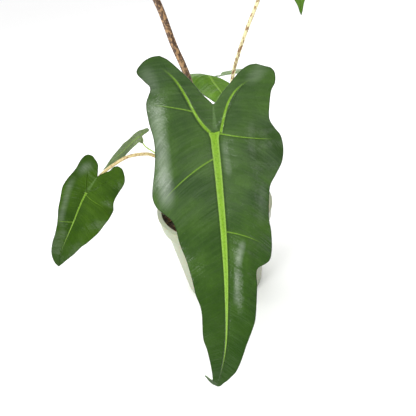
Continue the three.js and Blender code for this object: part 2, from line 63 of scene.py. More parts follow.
# Flat patterns of the blades: u runs from the stalk's joint to the tip, v from the midrib outwards.
# notch: depth of the cleft. pale: how clearly the midrib stands out.
# band: half-width of the pale midrib at the joint, and of a lobe's raised rib.
# margin: from the lobe's end, past the joint at u 0, up to the tip.
# inner and rib: the points between the cleft or the joint and the lobe's end.
# The rest is drawn on the blade's face, each along a line (start, end), where v is positive on the left.
# veins: sideways bow near the start and near the end, half-width and strength.
# rolls: soft swells towards the line's left, with width and fall.
# blooms: painted sheen, soft pale bands of reflected light laid into the colour, with half-width and
# strength.
FRONT_PATTERN = {
    "length": 226.6,
    "notch": -21,
    "pale": 1,
    "band": (3.3, 1.3),
    "left": {
        "inner": [(-24.5, 3), (-30.5, 8), (-40.5, 14.7), (-48.5, 21.5), (-55.5, 28)],
        "margin": [
            (-59, 33.5), (-58.7, 39), (-56, 45), (-50, 50), (-43, 46), (-37, 43), (-25, 48), (-12, 48),
            (0, 46), (11, 46), (23, 48), (35, 51), (44, 52), (52, 49), (57, 44), (63, 38), (70, 35),
            (81, 33), (94, 29), (111, 25), (121, 23), (134, 19), (158, 17.8), (170, 14.2), (180, 11.3),
            (189, 8.7), (198, 6.3), (206, 4.4), (212, 3.3), (220, 1.6),
        ],
        "rib": [(-14, 12), (-28, 17), (-38, 22), (-46, 28)],
    },
    "right": {
        "inner": [(-23.5, 3), (-29.5, 7), (-36.3, 13), (-44.5, 20.5), (-48, 26.5)],
        "margin": [
            (-48.5, 31.5), (-46.5, 37.5), (-45, 41.5), (-41.5, 44), (-35, 44), (-28, 41), (-9, 40),
            (0, 44), (7, 49), (16, 50), (27, 47), (36, 41), (44, 36), (55, 34), (66, 33), (75, 34),
            (86, 34), (94, 32.6), (97.4, 29.7), (100.6, 23.6), (104.9, 22.2), (114, 22.6), (133, 22),
            (142, 21.2), (150, 19), (161, 15.8), (171, 14), (181, 12.5), (188.5, 11), (195, 8.4),
            (200, 6.5), (204.5, 4.3), (210, 3.4), (216, 3.4), (221, 2.3),
        ],
        "rib": [(-15, 10), (-27, 16), (-36, 22), (-41, 27)],
    },
    "veins": [
        ((-0.4, 3.9), (-53, 36), (3.6, -7.3), 1.25, 0.9),
        ((0.2, -4.2), (-39, -29), (-3.4, -9), 1.15, 0.9),
        ((-17, 13.5), (-24.5, 44), (-0.8, -0.8), 0.6, 0.6),
        ((1, -3), (9, -46), (1, 1.8), 0.6, 0.7),
        ((19, 2), (48, 44), (-2.2, -2.2), 0.7, 0.6),
        ((74, -1), (84, -28), (-1.3, -1.3), 0.55, 0.55),
    ],
    "rolls": [
        ((4, -90), (4, 90), 56, 14),
        ((95, 90), (95, -90), 270, -72),
        ((-60, 28), (75, 38), 12, 1.7),
        ((96, -20), (-32, -22), 13, 1.8),
        ((34, -3.5), (-3, -3.5), 14, -1.9),
        ((148, -7), (74, -4), 8, -1.6),
        ((150, -16), (70, -15), 9, 1.8),
    ],
    # Painted sheen: pale bands of reflected light laid into the colour.
    "blooms": [
        ((-60, 0), (52, 0), 110, 0.045),
        ((-52, 44), (-34, 40), 9, 0.1),
        ((-24, 42), (50, 41), 10, 0.22),
        ((-8, -27), (24, -26), 6, 0.06),
        ((40, -31), (70, -27), 6, 0.05),
        ((7, -6), (34, -7), 5, 0.1),
        ((-47, -37), (-37, -26), 9, 0.11),
        ((82, -13), (98, -9), 4, 0.17),
        ((104, -8), (128, -7), 3.5, 0.1),
    ],
}

LEFT_PATTERN = {
    "length": 74.5,
    "notch": -18,
    "pale": 0.7,
    "band": (1.15, 0.5),
    "left": {
        "inner": [(-23, 3), (-28, 7)],
        "margin": [
            (-31, 15), (-29, 20), (-23, 22), (-12, 22), (0, 23), (6, 23), (18, 20), (30, 16), (45, 12),
            (54, 11), (64, 9), (72, 4.5),
        ],
        "rib": [(-10, 7), (-20, 12)],
    },
    "right": {
        "inner": [(-25, 4), (-29, 7.2), (-34, 8.7)],
        "margin": [
            (-37, 11.5), (-37.5, 16), (-36, 20), (-32, 25), (-28, 27), (-19, 27), (-9, 29), (0, 31),
            (6, 32), (16, 33), (24, 29), (32, 25), (40, 21), (46, 17), (57, 12), (67, 5.5),
        ],
        "rib": [(-12, 8), (-24, 12)],
    },
    "veins": [
        ((29, 0.5), (35, 19), (0.6, 0.6), 0.35, 0.6),
        ((2, -1), (6, -25), (0.8, 0.8), 0.35, 0.5),
    ],
    "rolls": [((-40, 10), (60, 8), 10, 1.2)],
    # Painted sheen: pale bands of reflected light laid into the colour.
    "blooms": [((-22, 12), (-14, 16), 7, 0.14), ((-4, 18), (34, 12), 5, 0.08)],
}

YOUNG_PATTERN = {
    "length": 100,
    "notch": -16,
    "pale": 0.9,
    "band": (2, 0.8),
    "left": {
        "inner": [(-25, 7), (-33, 12)],
        "margin": [
            (-40, 19), (-37, 25), (-27, 28), (-14, 25), (0, 27), (12, 27), (25, 23), (38, 23),
            (50, 19), (65, 14), (80, 7.5), (90, 3), (96, 1.5),
        ],
        "rib": [(-12, 9), (-25, 15)],
    },
    "right": {
        "inner": [(-24, 7), (-32, 13)],
        "margin": [
            (-38, 20), (-34, 27), (-22, 27), (-10, 25), (0, 28), (10, 28), (22, 25), (34, 21),
            (46, 20), (60, 15), (75, 9), (88, 3.5), (95, 1.7),
        ],
        "rib": [(-12, 9), (-24, 15)],
    },
    "veins": [
        ((-0.5, 1.6), (-36, 18), (1.2, 1.2), 0.9, 0.8),
        ((-0.5, -1.6), (-35, -19), (1.2, 1.2), 0.9, 0.8),
        ((5, 1), (3, 24), (0.8, 0.8), 0.4, 0.5),
        ((8, -1), (6, -24), (0.8, 0.8), 0.4, 0.5),
        ((34, 1), (44, 18), (-0.8, -0.8), 0.4, 0.5),
        ((38, -1), (47, -16), (-0.8, -0.8), 0.4, 0.5),
    ],
    "rolls": [((-30, 10), (90, 10), 10, 0.8)],
    "blooms": [],
}


@dataclasses.dataclass
class Leaf:
    """One leaf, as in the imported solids. Three values of one kind hold at the lobes, joint and tip.

    spine: the midrib in space, from between the lobe ends through the joint (second point) to the tip.
    face: the way the upper side looks.
    fold: how steeply each half rises from the midrib, in degrees.
    curl: how far it bends back over half_width, in degrees.
    ripple, phase and waves: height, start (left, right) and number of the waves along the margin.
    rib_depth: how far the midrib swells the underside.
    stalk: its way from the crown to the blade. stalk_radius: at the blade and at the sheath.
    lobe_stretch and widen: length of the lobes and width of the blade, against the pattern.
    grid: stations along the midrib and along the lobes, and rows from rib to margin.
    """
    name: str
    pattern: dict
    tone: str
    bark: str
    spine: list
    face: list
    fold: tuple
    curl: tuple
    half_width: float
    ripple: float
    phase: tuple
    rib_depth: float
    stalk: list
    stalk_radius: tuple
    waves: float = 2.5
    thickness: float = 0.6
    lobe_stretch: float = 1
    widen: float = 1
    grid: tuple = (72, 36, 16)


LEAVES = [
    Leaf(
        "front", FRONT_PATTERN, "dark", "brown",
        spine=[
            (10, -74, 277), (7, -79, 226), (5, -101, 198), (2, -126, 169), (-3, -147, 131),
            (-10, -163, 88), (-20, -167.5, 51.5), (-25, -163.5, 43.5), (-31.8, -153.4, 39),
        ],
        face=[(0, -0.45, 0.89), (0, -0.75, 0.66), (-0.2, -0.95, 0.2)],
        fold=(14, 10, 6), curl=(12, 22, 16), half_width=48,
        ripple=3, waves=3.6, phase=(0.1, 0.55), thickness=0.7, rib_depth=1.6,
        grid=(132, 60, 26),
        stalk=[(0, -10, 97), (0.5, -14, 125), (1.5, -23, 165), (3, -38, 200), (5, -60, 218)],
        stalk_radius=(2.4, 3.4),
    ),
    Leaf(
        "left", LEFT_PATTERN, "bright", "khaki",
        spine=[(-91, -14, 181), (-115, -28, 160), (-130, -46, 142), (-145, -58, 122), (-152, -62, 107)],
        face=[(-0.2, -0.7, 0.7), (-0.25, -0.75, 0.6), (-0.3, -0.85, 0.45)],
        fold=(12, 12, 8), curl=(14, 14, 14), half_width=26,
        ripple=1.2, waves=3, phase=(0.2, 0.6), rib_depth=0.8,
        grid=(72, 40, 18),
        stalk=[
            (-9.5, -3.5, 97), (-16, -8, 125), (-29, -16, 164), (-47.3, -22, 184), (-57.9, -21, 187),
            (-72.2, -19, 185.3), (-86, -17, 178.6), (-94.6, -16, 173.5), (-102.5, -15.5, 167.8),
            (-109, -19, 163),
        ],
        stalk_radius=(1.4, 3.2),
    ),
    # The small left blade takes the paler grey-green tone, partly painted sheen.
    Leaf(
        "left_small", YOUNG_PATTERN, "grey", "green",
        spine=[
            (-51, 20, 182.4), (-63, 25, 181.8), (-82.1, 29, 167.4), (-93, 31, 159.4),
            (-109.2, 33, 147.2),
        ],
        face=[(-0.68, -0.12, 0.8), (-0.39, -0.11, 0.8), (-0.56, -0.78, 0.8)],
        fold=(-2, 3, 3), curl=(-6, -6, -6), lobe_stretch=0.35, widen=0.59, half_width=16,
        ripple=1, phase=(0.3, 0.7), rib_depth=0.6,
        grid=(60, 30, 14),
        stalk=[(-8.5, 5.5, 97), (-15, 10, 118), (-32, 17, 143), (-51, 24, 162), (-59.5, 25.5, 170.5)],
        stalk_radius=(0.7, 2.6),
    ),
    Leaf(
        "back", YOUNG_PATTERN, "fresh", "green",
        spine=[
            (2.4, 58, 208.4), (11.9, 40, 227.2), (18, 26, 221.9), (24.2, 12, 215.5), (33.5, 0, 211.1),
            (43.5, -10, 204.1),
        ],
        face=[(0.48, -0.27, 0.88), (0.5, -0.27, 0.86), (0.07, -0.34, 0.95)],
        fold=(2, 2, 4), curl=(27, 27, 14), lobe_stretch=0.8, widen=1.2, half_width=18,
        ripple=1.2, phase=(0.1, 0.6), rib_depth=0.7,
        stalk=[
            (1, 10, 97), (3, 13, 125), (8.5, 17, 160), (14.5, 21.5, 190), (17.6, 25, 207.3),
            (16.5, 30, 217),
        ],
        stalk_radius=(1.5, 3),
    ),
    Leaf(
        "back_right", YOUNG_PATTERN, "fresh", "tan",
        spine=[
            (40.1, 46, 221.7), (45.9, 62, 217.4), (53.3, 86, 211.3), (58.6, 110, 202.2),
            (65.6, 134, 194.4),
        ],
        face=[(0, 0.29, 0.95), (0, 0.29, 0.95), (0, 0.32, 0.94)],
        fold=(6.6, 6.6, 6.6), curl=(13.4, 13.4, 13.4), lobe_stretch=0.85, widen=0.92,
        half_width=20, ripple=1.2, phase=(0.4, 0.9), rib_depth=0.7,
        stalk=[(9, 4.5, 97), (13.5, 9, 122), (24, 27, 165), (37, 47, 203)],
        stalk_radius=(1.5, 3),
    ),
    Leaf(
        "right_tall", YOUNG_PATTERN, "fresh", "tan",
        spine=[
            (94, -3, 386), (95, -8, 364), (94, -14, 343), (91, -14, 322), (89.5, -9, 301),
            (91, -6, 279.6),
        ],
        face=[(-0.2, -0.8, 0.5), (-0.3, -0.9, 0.3), (-0.4, -0.9, 0)],
        fold=(14, 16, 14), curl=(14, 18, 14), half_width=22,
        ripple=1.4, phase=(0.15, 0.7), rib_depth=0.8,
        stalk=[
            (9, -5, 97), (12, -9, 125), (20, -17, 190), (29.3, -20, 241), (36.3, -20, 261.5),
            (45, -19, 280), (55.2, -17, 298.8), (68, -8, 322), (80, 2, 342), (91, 6, 357),
        ],
        stalk_radius=(1.3, 3),
    ),
    Leaf(
        "left_tall", FRONT_PATTERN, "dark", "brown",
        spine=[
            (-68, 10, 434), (-106, 12, 424), (-140, 15, 408), (-178, 18, 378), (-212, 20, 338),
            (-236, 22, 292), (-250, 24, 252),
        ],
        face=[(0.1, -0.25, 0.95), (-0.2, -0.3, 0.9), (-0.9, -0.3, 0.3)],
        fold=(16, 14, 8), curl=(14, 24, 18), half_width=48,
        ripple=4, waves=3.2, phase=(0.35, 0.8), thickness=0.7, rib_depth=1.8,
        grid=(100, 48, 20),
        stalk=[
            (0, 0, 97), (0, 1, 125), (0, 2.8, 190), (-6.6, 4, 240.4), (-14, 4.8, 270),
            (-21.6, 6, 305.4), (-38, 8, 350), (-60, 9, 388), (-85, 11, 412),
        ],
        stalk_radius=(2.5, 4.2),
    ),
]

# How strongly each kind of leaf mirrors its surroundings, and the pale colour of the painted sheen: reflected
# light laid into the blades' colour.
SHINE = {"dark": 0.2, "bright": 0.08, "fresh": 0.2, "grey": 0.2}
PAINTED_SHEEN = (0.62, 0.68, 0.6)

# Shares of a lobe's length: where the cleft ends, where its band begins to fade and over how much,
# and how far the width of the joint spreads.
CLEFT_SHARE = 0.25
FADE_START, FADE_LENGTH = 0.45, 0.4
JOINT_SPREAD = 0.05

# How much ribs, bands and stalks lose or gain from end to end, and the knob under the joint, as shares.
RIB_FADE = 0.8
MIDRIB_TAPER = 0.96
LOBE_RIB_TAPER = 0.7
STALK_THICKENING = 0.25
BOSS_SHARE = 0.06

# How soon a stalk's sheath thins upwards, as the power of the share of the stalk still to go.
SHEATH_POWER = 6

# Rows of the mesh beside a rib, in half-widths of its band, and a distance that counts as far from it.
BAND_ROWS = (0, 0.45, 0.8, 1, 1.3)
FAR = 9

# Corners of tubes and turned bodies, and of the flat sheet, are welded when closer than this, in millimetres.
WELD = 1e-4
SHEET_WELD = 0.004

# How far the pot's rim stands out over its collar's upper edge, in millimetres.
RIM_OVERHANG = 0.6

# How the flat patterns and the stalks are laid in the unit square of their UV maps, in millimetres.
FLAT_SPAN = 320
FLAT_MIDDLE = (160, 70)
STALK_SPAN = 500
TURN_WIDTH = 0.1

# Softboxes: name, place, and width and height in metres.
SOFTBOXES = (
    ("left", (-0.93, -0.88, 0.47), (0.44, 0.6)),
    ("far_left", (-1.25, 0.17, 0.6), (0.4, 0.4)),
    ("right", (0.64, -0.81, 0.99), (0.4, 0.6)),
    ("back", (-0.2, 1, 0.9), (1, 1)),
)

# The place of the wide light, and the point that every light looks at.
SUN_PLACE = (-0.4, 0, 1.7)
LIT_POINT = (0, -0.05, 0.15)


# Settings

def length_setting(name, description, default):
    return FloatProperty(name=name, description=description, default=default, unit="LENGTH")


def colour_setting(name, description, code):
    return FloatVectorProperty(name=name, description=description, default=shade(code), subtype="COLOR")


def power_setting(name, description, default):
    return FloatProperty(name=name, description=description, default=default, subtype="POWER")


def angle_setting(name, description, degrees):
    return FloatProperty(name=name, description=description, default=math.radians(degrees), subtype="ANGLE")


class AlocasiaPotSettings(bpy.types.PropertyGroup):
    """Sizes and colour of the nursery pot."""
    height: length_setting("Height", "From the foot to the rim", 0.107)
    rim_radius: length_setting("Rim radius", "Outer radius of the lip", 0.06)
    base_radius: length_setting("Foot radius", "Outer radius of the foot", 0.043)
    wall_top_radius: length_setting("Wall top radius", "Outer radius of the wall under the collar", 0.0545)
    collar_radius: length_setting("Collar radius", "Outer radius of the collar's lower edge", 0.0583)
    collar_height: length_setting("Collar height", "Height of the wider band under the rim", 0.015)
    lip_width: length_setting("Lip width", "Width of the rolled lip", 0.0045)
    lip_depth: length_setting("Lip depth", "Height of the rolled lip", 0.0028)
    wall: length_setting("Wall", "Thickness of the wall", 0.0016)
    floor: length_setting("Floor", "Thickness of the floor", 0.002)
    colour: colour_setting("Plastic", "Pale sage plastic", "90967c")


class AlocasiaSoilSettings(bpy.types.PropertyGroup):
    """The potting mix and what lies on it."""
    level: length_setting("Level", "Height of the mix", 0.096)
    roughness: length_setting("Bumps", "Height of the bumps of its surface", 0.0013)
    chips: IntProperty(name="Bark chips", description="Number of bark chips on top", default=900)
    chip_size: length_setting("Chip size", "Length of a usual chip", 0.0052)
    grains: IntProperty(name="Pale grains", description="Number of pale mineral grains", default=130)
    grain_size: length_setting("Grain size", "Width of a grain", 0.0026)
    fibres: IntProperty(name="Fibres", description="Number of coir fibres", default=260)
    seed: IntProperty(name="Seed", description="Start of the random scatter", default=7)
    colour: colour_setting("Mix", "Dark brown mix", "352411")
    bark_colour: colour_setting("Bark", "Bark chips", "5e4428")
    grain_colour: colour_setting("Grain", "Pale grains", "c9b790")


class AlocasiaLeafSettings(bpy.types.PropertyGroup):
    """Colours and surface of the blades."""
    dark: colour_setting("Dark green", "The large blades", "284b08")
    bright: colour_setting("Bright green", "The smaller blades", "284804")
    fresh: colour_setting("Fresh green", "The young blades at the back", "55821c")
    # Partly painted sheen: the blade seen at a low angle takes this paler grey-green, partly its own colour
    # and partly the light it reflects there.
    grey: colour_setting("Grey green", "The blade seen at a low angle", "5c7344")
    rib: colour_setting("Ribs", "Pale midrib and veins", "77a02b")
    # Painted highlight: the midrib's paler edges stand for light caught on the sides of its raised band.
    rib_highlight: colour_setting("Rib edges", "Paler borders of the midrib", "98b95e")
    under: colour_setting("Underside", "Paler, matter underside", "7d9c62")
    gloss: FloatProperty(
        name="Roughness", description="Roughness of the upper side", default=0.22,
        min=0, max=1, subtype="FACTOR")
    quilt: length_setting("Quilting", "Height of the swellings between the veins", 0.0005)


class AlocasiaStalkSettings(bpy.types.PropertyGroup):
    """Colours of the mottled stalks and the crown."""
    buff: colour_setting("Buff", "Ground of the brown stalks", "9c7953")
    brown: colour_setting("Brown", "Mottling of the brown stalks", "4c3524")
    straw: colour_setting("Straw", "Ground of the tan stalks", "dbd1a2")
    khaki: colour_setting("Khaki", "Ground of the left stalk", "b7a572")
    tan: colour_setting("Tan", "Mottling of the tan stalks", "8a653c")
    green: colour_setting("Green", "Ground of the green stalks", "b4cc74")
    olive: colour_setting("Olive", "Mottling of the green stalks", "7d9142")
    crown: colour_setting("Crown", "The rhizome stub", "6f5640")


class AlocasiaStageSettings(bpy.types.PropertyGroup):
    """Floor, light and camera."""
    floor_size: length_setting("Floor size", "Side of the floor", 24)
    floor_colour: FloatVectorProperty(
        name="Floor", description="Plain pale floor", default=(0.93, 0.93, 0.93), subtype="COLOR")
    sky: FloatProperty(name="Sky", description="Strength of the light from all around", default=0.5)
    sun: FloatProperty(name="Sun", description="Strength of the wide light from above", default=1.75)
    left: power_setting("Left light", "Power of the softbox low on the left", 11)
    far_left: power_setting("Far left light", "Power of the softbox beside the left leaf", 3)
    right: power_setting("Right light", "Power of the softbox on the right", 3)
    back: power_setting("Back light", "Power of the softbox behind", 5)
    camera_place: FloatVectorProperty(
        name="Camera", description="Place of the camera", default=(-0.007, -0.378, 0.376),
        subtype="TRANSLATION")
    camera_pitch: angle_setting("Pitch", "How far the camera looks down", 36)
    camera_roll: angle_setting("Roll", "How far the camera leans", -9)
    focal_share: FloatProperty(
        name="Focal length", description="Focal length in widths of the picture", default=446 / 416)


# Lines and blades

class Line:
    """A smooth line through given points, walked by its length."""

    STEPS = 40

    def __init__(self, points, open_ends=True):
        points = [Vector(point) for point in points]
        first = 2 * points[0] - points[1] if open_ends else points[0]
        last = 2 * points[-1] - points[-2] if open_ends else points[-1]
        posts = [first, *points, last]
        self.places = []
        for a, b, c, d in zip(posts, posts[1:], posts[2:], posts[3:]):
            for i in range(self.STEPS):
                t = i / self.STEPS
                self.places.append(
                    (2 * b + (c - a) * t + (2 * a - 5 * b + 4 * c - d) * t * t
                     + (3 * b - a - 3 * c + d) * t ** 3) / 2)
        self.places.append(points[-1])
        self.lengths = [0]
        for a, b in zip(self.places, self.places[1:]):
            self.lengths.append(self.lengths[-1] + (b - a).length)
        self.total = self.lengths[-1]

    def post_length(self, index):
        """Length from the start to one of the given points."""
        return self.lengths[index * self.STEPS]

    def at(self, length):
        """Place at a length from the start."""
        i = min(max(bisect.bisect_right(self.lengths, length) - 1, 0), len(self.places) - 2)
        run = self.lengths[i + 1] - self.lengths[i]
        return self.places[i].lerp(self.places[i + 1], min(max((length - self.lengths[i]) / run, 0), 1))

    def share(self, t):
        """Place at a share of the way counted in given points, each span alike."""
        i = min(int(t * (len(self.places) - 1)), len(self.places) - 2)
        return self.places[i].lerp(self.places[i + 1], t * (len(self.places) - 1) - i)

    def along(self, length, reach=1.5):
        """Direction at a length from the start, evened over a short reach."""
        low, high = max(length - reach, 0), min(length + reach, self.total)
        return (self.at(high) - self.at(low)).normalized()


def mix(a, b, share):
    return a + (b - a) * share


def wander(x, y, z):
    """Smooth noise from -1 to 1."""
    return noise.noise(Vector((x, y, z)))


class Blade:
    """The bent middle surface of one leaf blade."""

    def __init__(self, leaf):
        self.leaf = leaf
        self.midrib = Line(leaf.spine)
        self.start = -self.midrib.post_length(1)
        self.end = self.midrib.total + self.start
        self.stretch = self.end / leaf.pattern["length"]

    def blend(self, values, u):
        """Value at the lobes, the joint or the tip, blended by the place along the midrib."""
        far = values[0] if u < 0 else values[2]
        share = u / self.start if u < 0 else u / self.end
        return mix(values[1], far, min(max(share, 0), 1))

    def place(self, flat_u, flat_v):
        """Point of the surface for a place of the flat pattern, flat_v > 0 on the left."""
        leaf = self.leaf
        u = flat_u * self.stretch * (leaf.lobe_stretch if flat_u < 0 else 1)
        v = flat_v * self.stretch * leaf.widen
        inside = min(max(u, self.start), self.end)
        along = self.midrib.along(inside - self.start)
        point = self.midrib.at(inside - self.start) + along * (u - inside)
        face = Vector([self.blend([f[i] for f in leaf.face], inside) for i in range(3)])
        up = (face - along * face.dot(along)).normalized()
        left = along.cross(up)
        rise = math.radians(self.blend(leaf.fold, u))
        bend = math.radians(self.blend(leaf.curl, u)) / leaf.half_width
        reach = abs(v)
        out = (math.sin(rise) - math.sin(rise - bend * reach)) / bend
        phase = leaf.phase[0] if v > 0 else leaf.phase[1]
        wave = math.sin(2 * math.pi * (leaf.waves * u / self.end + phase))
        height = (math.cos(rise - bend * reach) - math.cos(rise)) / bend
        height += leaf.ripple * (reach / leaf.half_width) ** 2 * wave
        return point + left * math.copysign(out, v) + up * height


def half_lines(pattern, half):
    """The lines that bound one half's three patches, each run from the joint outwards by a share q."""
    lobe_end = half["margin"][0]
    margin = Line([*half["margin"], (pattern["length"], 0)], open_ends=False)
    inner = Line([(pattern["notch"], 0), *half["inner"], lobe_end], open_ends=False)
    rib = Line([(0, 0), *half["rib"], lobe_end], open_ends=False)
    abreast = margin.post_length([u for u, v in half["margin"]].index(0))

    def inner_at(q):
        if q <= CLEFT_SHARE:
            return Vector((pattern["notch"] * q / CLEFT_SHARE, 0))
        return inner.share((q - CLEFT_SHARE) / (1 - CLEFT_SHARE))

    return {
        "midrib": lambda q: Vector((pattern["length"] * q, 0)),
        "rib": rib.share,
        "side": lambda q: margin.at(mix(abreast, margin.total, q)),
        "outer": lambda q: margin.at(mix(abreast, 0, q)),
        "inner": inner_at,
    }


def row_share(row, rows, band, span):
    """Share of the way from a rib to the far line at which a row of the grid lies."""
    close = len(BAND_ROWS) - 1
    if row <= close:
        return min(BAND_ROWS[row] * band / max(span, band), row / rows)
    last = min(BAND_ROWS[close] * band / max(span, band), close / rows)
    return mix(last, 1, (row - close) / (rows - close))


def add_patch(bm, layers, blade, counts, sign, lines, band_at, fading, free_from):
    """Grid between two lines of the flat pattern, with what shapes and colours it stored in its corners.

    Towards its end the first line's band fades by fading, and from the share free_from on the far line is
    the blade's free edge.
    """
    stations, rows = counts
    first_line, far_line = lines
    leaf = blade.leaf
    boss = BOSS_SHARE * leaf.pattern["length"]
    for vert in bmesh.ops.create_grid(bm, x_segments=stations, y_segments=rows, size=0.5)["verts"]:
        q = round((vert.co.x + 0.5) * stations) / stations
        row = round((vert.co.y + 0.5) * rows)
        start, end = first_line(q), far_line(q)
        span = (end - start).length
        band = band_at(q)
        t = row_share(row, rows, band, span)
        flat = start.lerp(end, t)
        beside = t * span / band
        ridge = max(0, 1 - (beside / BAND_ROWS[-1]) ** 2) * (1 - RIB_FADE * q)
        fade = fading * min(max((q - FADE_START) / FADE_LENGTH, 0), 1)
        vert[layers["rib"]] = min(beside + fade, FAR)
        vert[layers["edge"]] = (1 - t) * span if q >= free_from else FAR
        vert[layers["ridge"]] = max(ridge, 1 - flat.length / boss, 0)
        vert.co = (flat.x, sign * flat.y, 0)


def flat_sheet(bm, blade):
    """The whole flat pattern as one welded sheet, wound so that it faces up once it is bent."""
    pattern = blade.leaf.pattern
    stations, lobe_stations, rows = blade.leaf.grid
    layers = {name: bm.verts.layers.float.new(name) for name in ("rib", "edge", "ridge", "under")}
    wide, narrow = pattern["band"]

    def midrib_band(q):
        return wide * (1 - MIDRIB_TAPER * q)

    def lobe_band(q):
        return narrow * (1 - LOBE_RIB_TAPER * q) + (wide - narrow) * math.exp(-q / JOINT_SPREAD)

    patches = (
        ("midrib", "side", (stations, rows), midrib_band, 0, 0),
        ("rib", "outer", (lobe_stations, rows), lobe_band, 2, 0),
        ("rib", "inner", (lobe_stations, rows - 2), lobe_band, 2, CLEFT_SHARE),
    )
    for side, sign in (("left", 1), ("right", -1)):
        lines = half_lines(pattern, pattern[side])
        for near, far, counts, *rest in patches:
            add_patch(bm, layers, blade, counts, sign, (lines[near], lines[far]), *rest)
    bmesh.ops.remove_doubles(bm, verts=bm.verts, dist=SHEET_WELD)
    bm.normal_update()
    bmesh.ops.reverse_faces(bm, faces=[face for face in bm.faces if face.normal.z > 0])
    return layers


def give_flat_places(bm, name):
    """Stores the flat place of every corner as a UV map, within the unit square."""
    uv = bm.loops.layers.uv.new(name)
    for face in bm.faces:
        for loop in face.loops:
            u, v, _ = loop.vert.co
            loop[uv].uv = ((v + FLAT_MIDDLE[0]) / FLAT_SPAN, (u + FLAT_MIDDLE[1]) / FLAT_SPAN)


def bend_sheet(bm, blade, quilt):
    """Moves the flat sheet to its bent place, and stores how far it swells between its veins."""
    swell = bm.verts.layers.float.new("swell")
    for vert in bm.verts:
        u, v, _ = vert.co
        broad = wander(u / 17, v / 13, 3.1)
        small = wander(u / 7, v / 9, 8.4)
        vert[swell] = (broad + 0.5 * small) * quilt
        vert.co = blade.place(u, v)
    bm.normal_update()
    return swell


def thicken(bm, layers, leaf, swell):
    """Gives the sheet its wall: a raised pale band on top, and ribs that swell the underside."""
    twin = bm.verts.layers.int.new("twin")
    upper = list(bm.verts)
    for i, vert in enumerate(upper):
        vert[twin] = i
    normals = [vert.normal.copy() for vert in upper]
    made = bmesh.ops.extrude_face_region(bm, geom=bm.faces[:], use_keep_orig=True)["geom"]
    half = leaf.thickness / 2
    band_crest, groove_depth, groove_at, groove_width = 0.3, 0.12, 1.35, 0.3
    clear_of_rib, clear_of_edge = 4, 6
    for bottom in made:
        if not isinstance(bottom, bmesh.types.BMVert):
            continue
        top = upper[bottom[twin]]
        normal = normals[bottom[twin]]
        rib = top[layers["rib"]]
        groove = groove_depth * math.exp(-((rib - groove_at) / groove_width) ** 2)
        crest = band_crest * max(0, 1 - rib * rib) - groove
        lift = top[swell] * min(1, rib / clear_of_rib) * min(1, top[layers["edge"]] / clear_of_edge)
        bottom[layers["under"]] = 1
        bottom.co = top.co - normal * (half + leaf.rib_depth * top[layers["ridge"]] - lift)
        top.co = top.co + normal * (half + crest * min(1, leaf.rib_depth) + lift)
    bmesh.ops.recalc_face_normals(bm, faces=bm.faces)
    for face in bm.faces:
        if 0 < sum(vert[layers["under"]] for vert in face.verts) < len(face.verts):
            sharpen_wall(face, layers["under"])


def sharpen_wall(face, under):
    """Marks the two long edges of a face of the blade's rim as sharp."""
    for edge in face.edges:
        if edge.verts[0][under] == edge.verts[1][under]:
            edge.smooth = False


def add_object(name, data):
    """A new object in the scene; a bmesh becomes a mesh first."""
    if isinstance(data, bmesh.types.BMesh):
        bm, data = data, bpy.data.meshes.new(name)
        bm.to_mesh(data)
        bm.free()
    made = bpy.data.objects.new(name, data)
    bpy.context.scene.collection.objects.link(made)
    return made


def finish_piece(bm, name, material, node=None):
    """Turns the mesh into a piece of the plant, in metres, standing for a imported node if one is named."""
    bmesh.ops.scale(bm, vec=(MM, MM, MM), verts=bm.verts)
    for face in bm.faces:
        face.smooth = True
    piece = add_object(name, bm)
    piece.data.materials.append(material)
    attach(piece, "root")
    if node:
        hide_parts(node)
    return piece


def make_blade(leaf, material, quilt):
    """One blade, bent, waved and thickened."""
    blade = Blade(leaf)
    bm = bmesh.new()
    layers = flat_sheet(bm, blade)
    give_flat_places(bm, "flat")
    swell = bend_sheet(bm, blade, quilt)
    thicken(bm, layers, leaf, swell)
    finish_piece(bm, "leaf_" + leaf.name, material, "blade_" + leaf.name)


# Stalks

def turned_frames(line, count):
    """Places along a line with two directions across it that never twist."""
    frames = []
    across = None
    for i in range(count + 1):
        length = line.total * i / count
        along = line.along(length)
        if across is None:
            across = along.orthogonal().normalized()
        across = (across - along * across.dot(along)).normalized()
        frames.append((line.at(length), across, along.cross(across)))
    return frames


def close(bm):
    """Welds the seams of tubes, fills their open ends and turns all faces outwards."""
    bmesh.ops.remove_doubles(bm, verts=bm.verts, dist=WELD)
    bmesh.ops.holes_fill(bm, edges=[edge for edge in bm.edges if edge.is_boundary], sides=0)
    bmesh.ops.recalc_face_normals(bm, faces=bm.faces)


def make_tube(line, radius_at, steps, sides):
    """A closed bent tube whose UV map holds the way round and the way back from its far end."""
    frames = turned_frames(line, steps)
    bm = bmesh.new()
    bmesh.ops.create_grid(bm, x_segments=steps, y_segments=sides, size=0.5)
    uv = bm.loops.layers.uv.new("round")
    for face in bm.faces:
        for loop in face.loops:
            x, y, _ = loop.vert.co
            loop[uv].uv = ((y + 0.5) * TURN_WIDTH, (0.5 - x) * line.total / STALK_SPAN)
    for vert in bm.verts:
        step = round((vert.co.x + 0.5) * steps)
        angle = 2 * math.pi * (vert.co.y + 0.5)
        centre, across, aside = frames[step]
        radius = radius_at(step / steps, angle)
        vert.co = centre + (across * math.cos(angle) + aside * math.sin(angle)) * radius
    close(bm)
    return bm


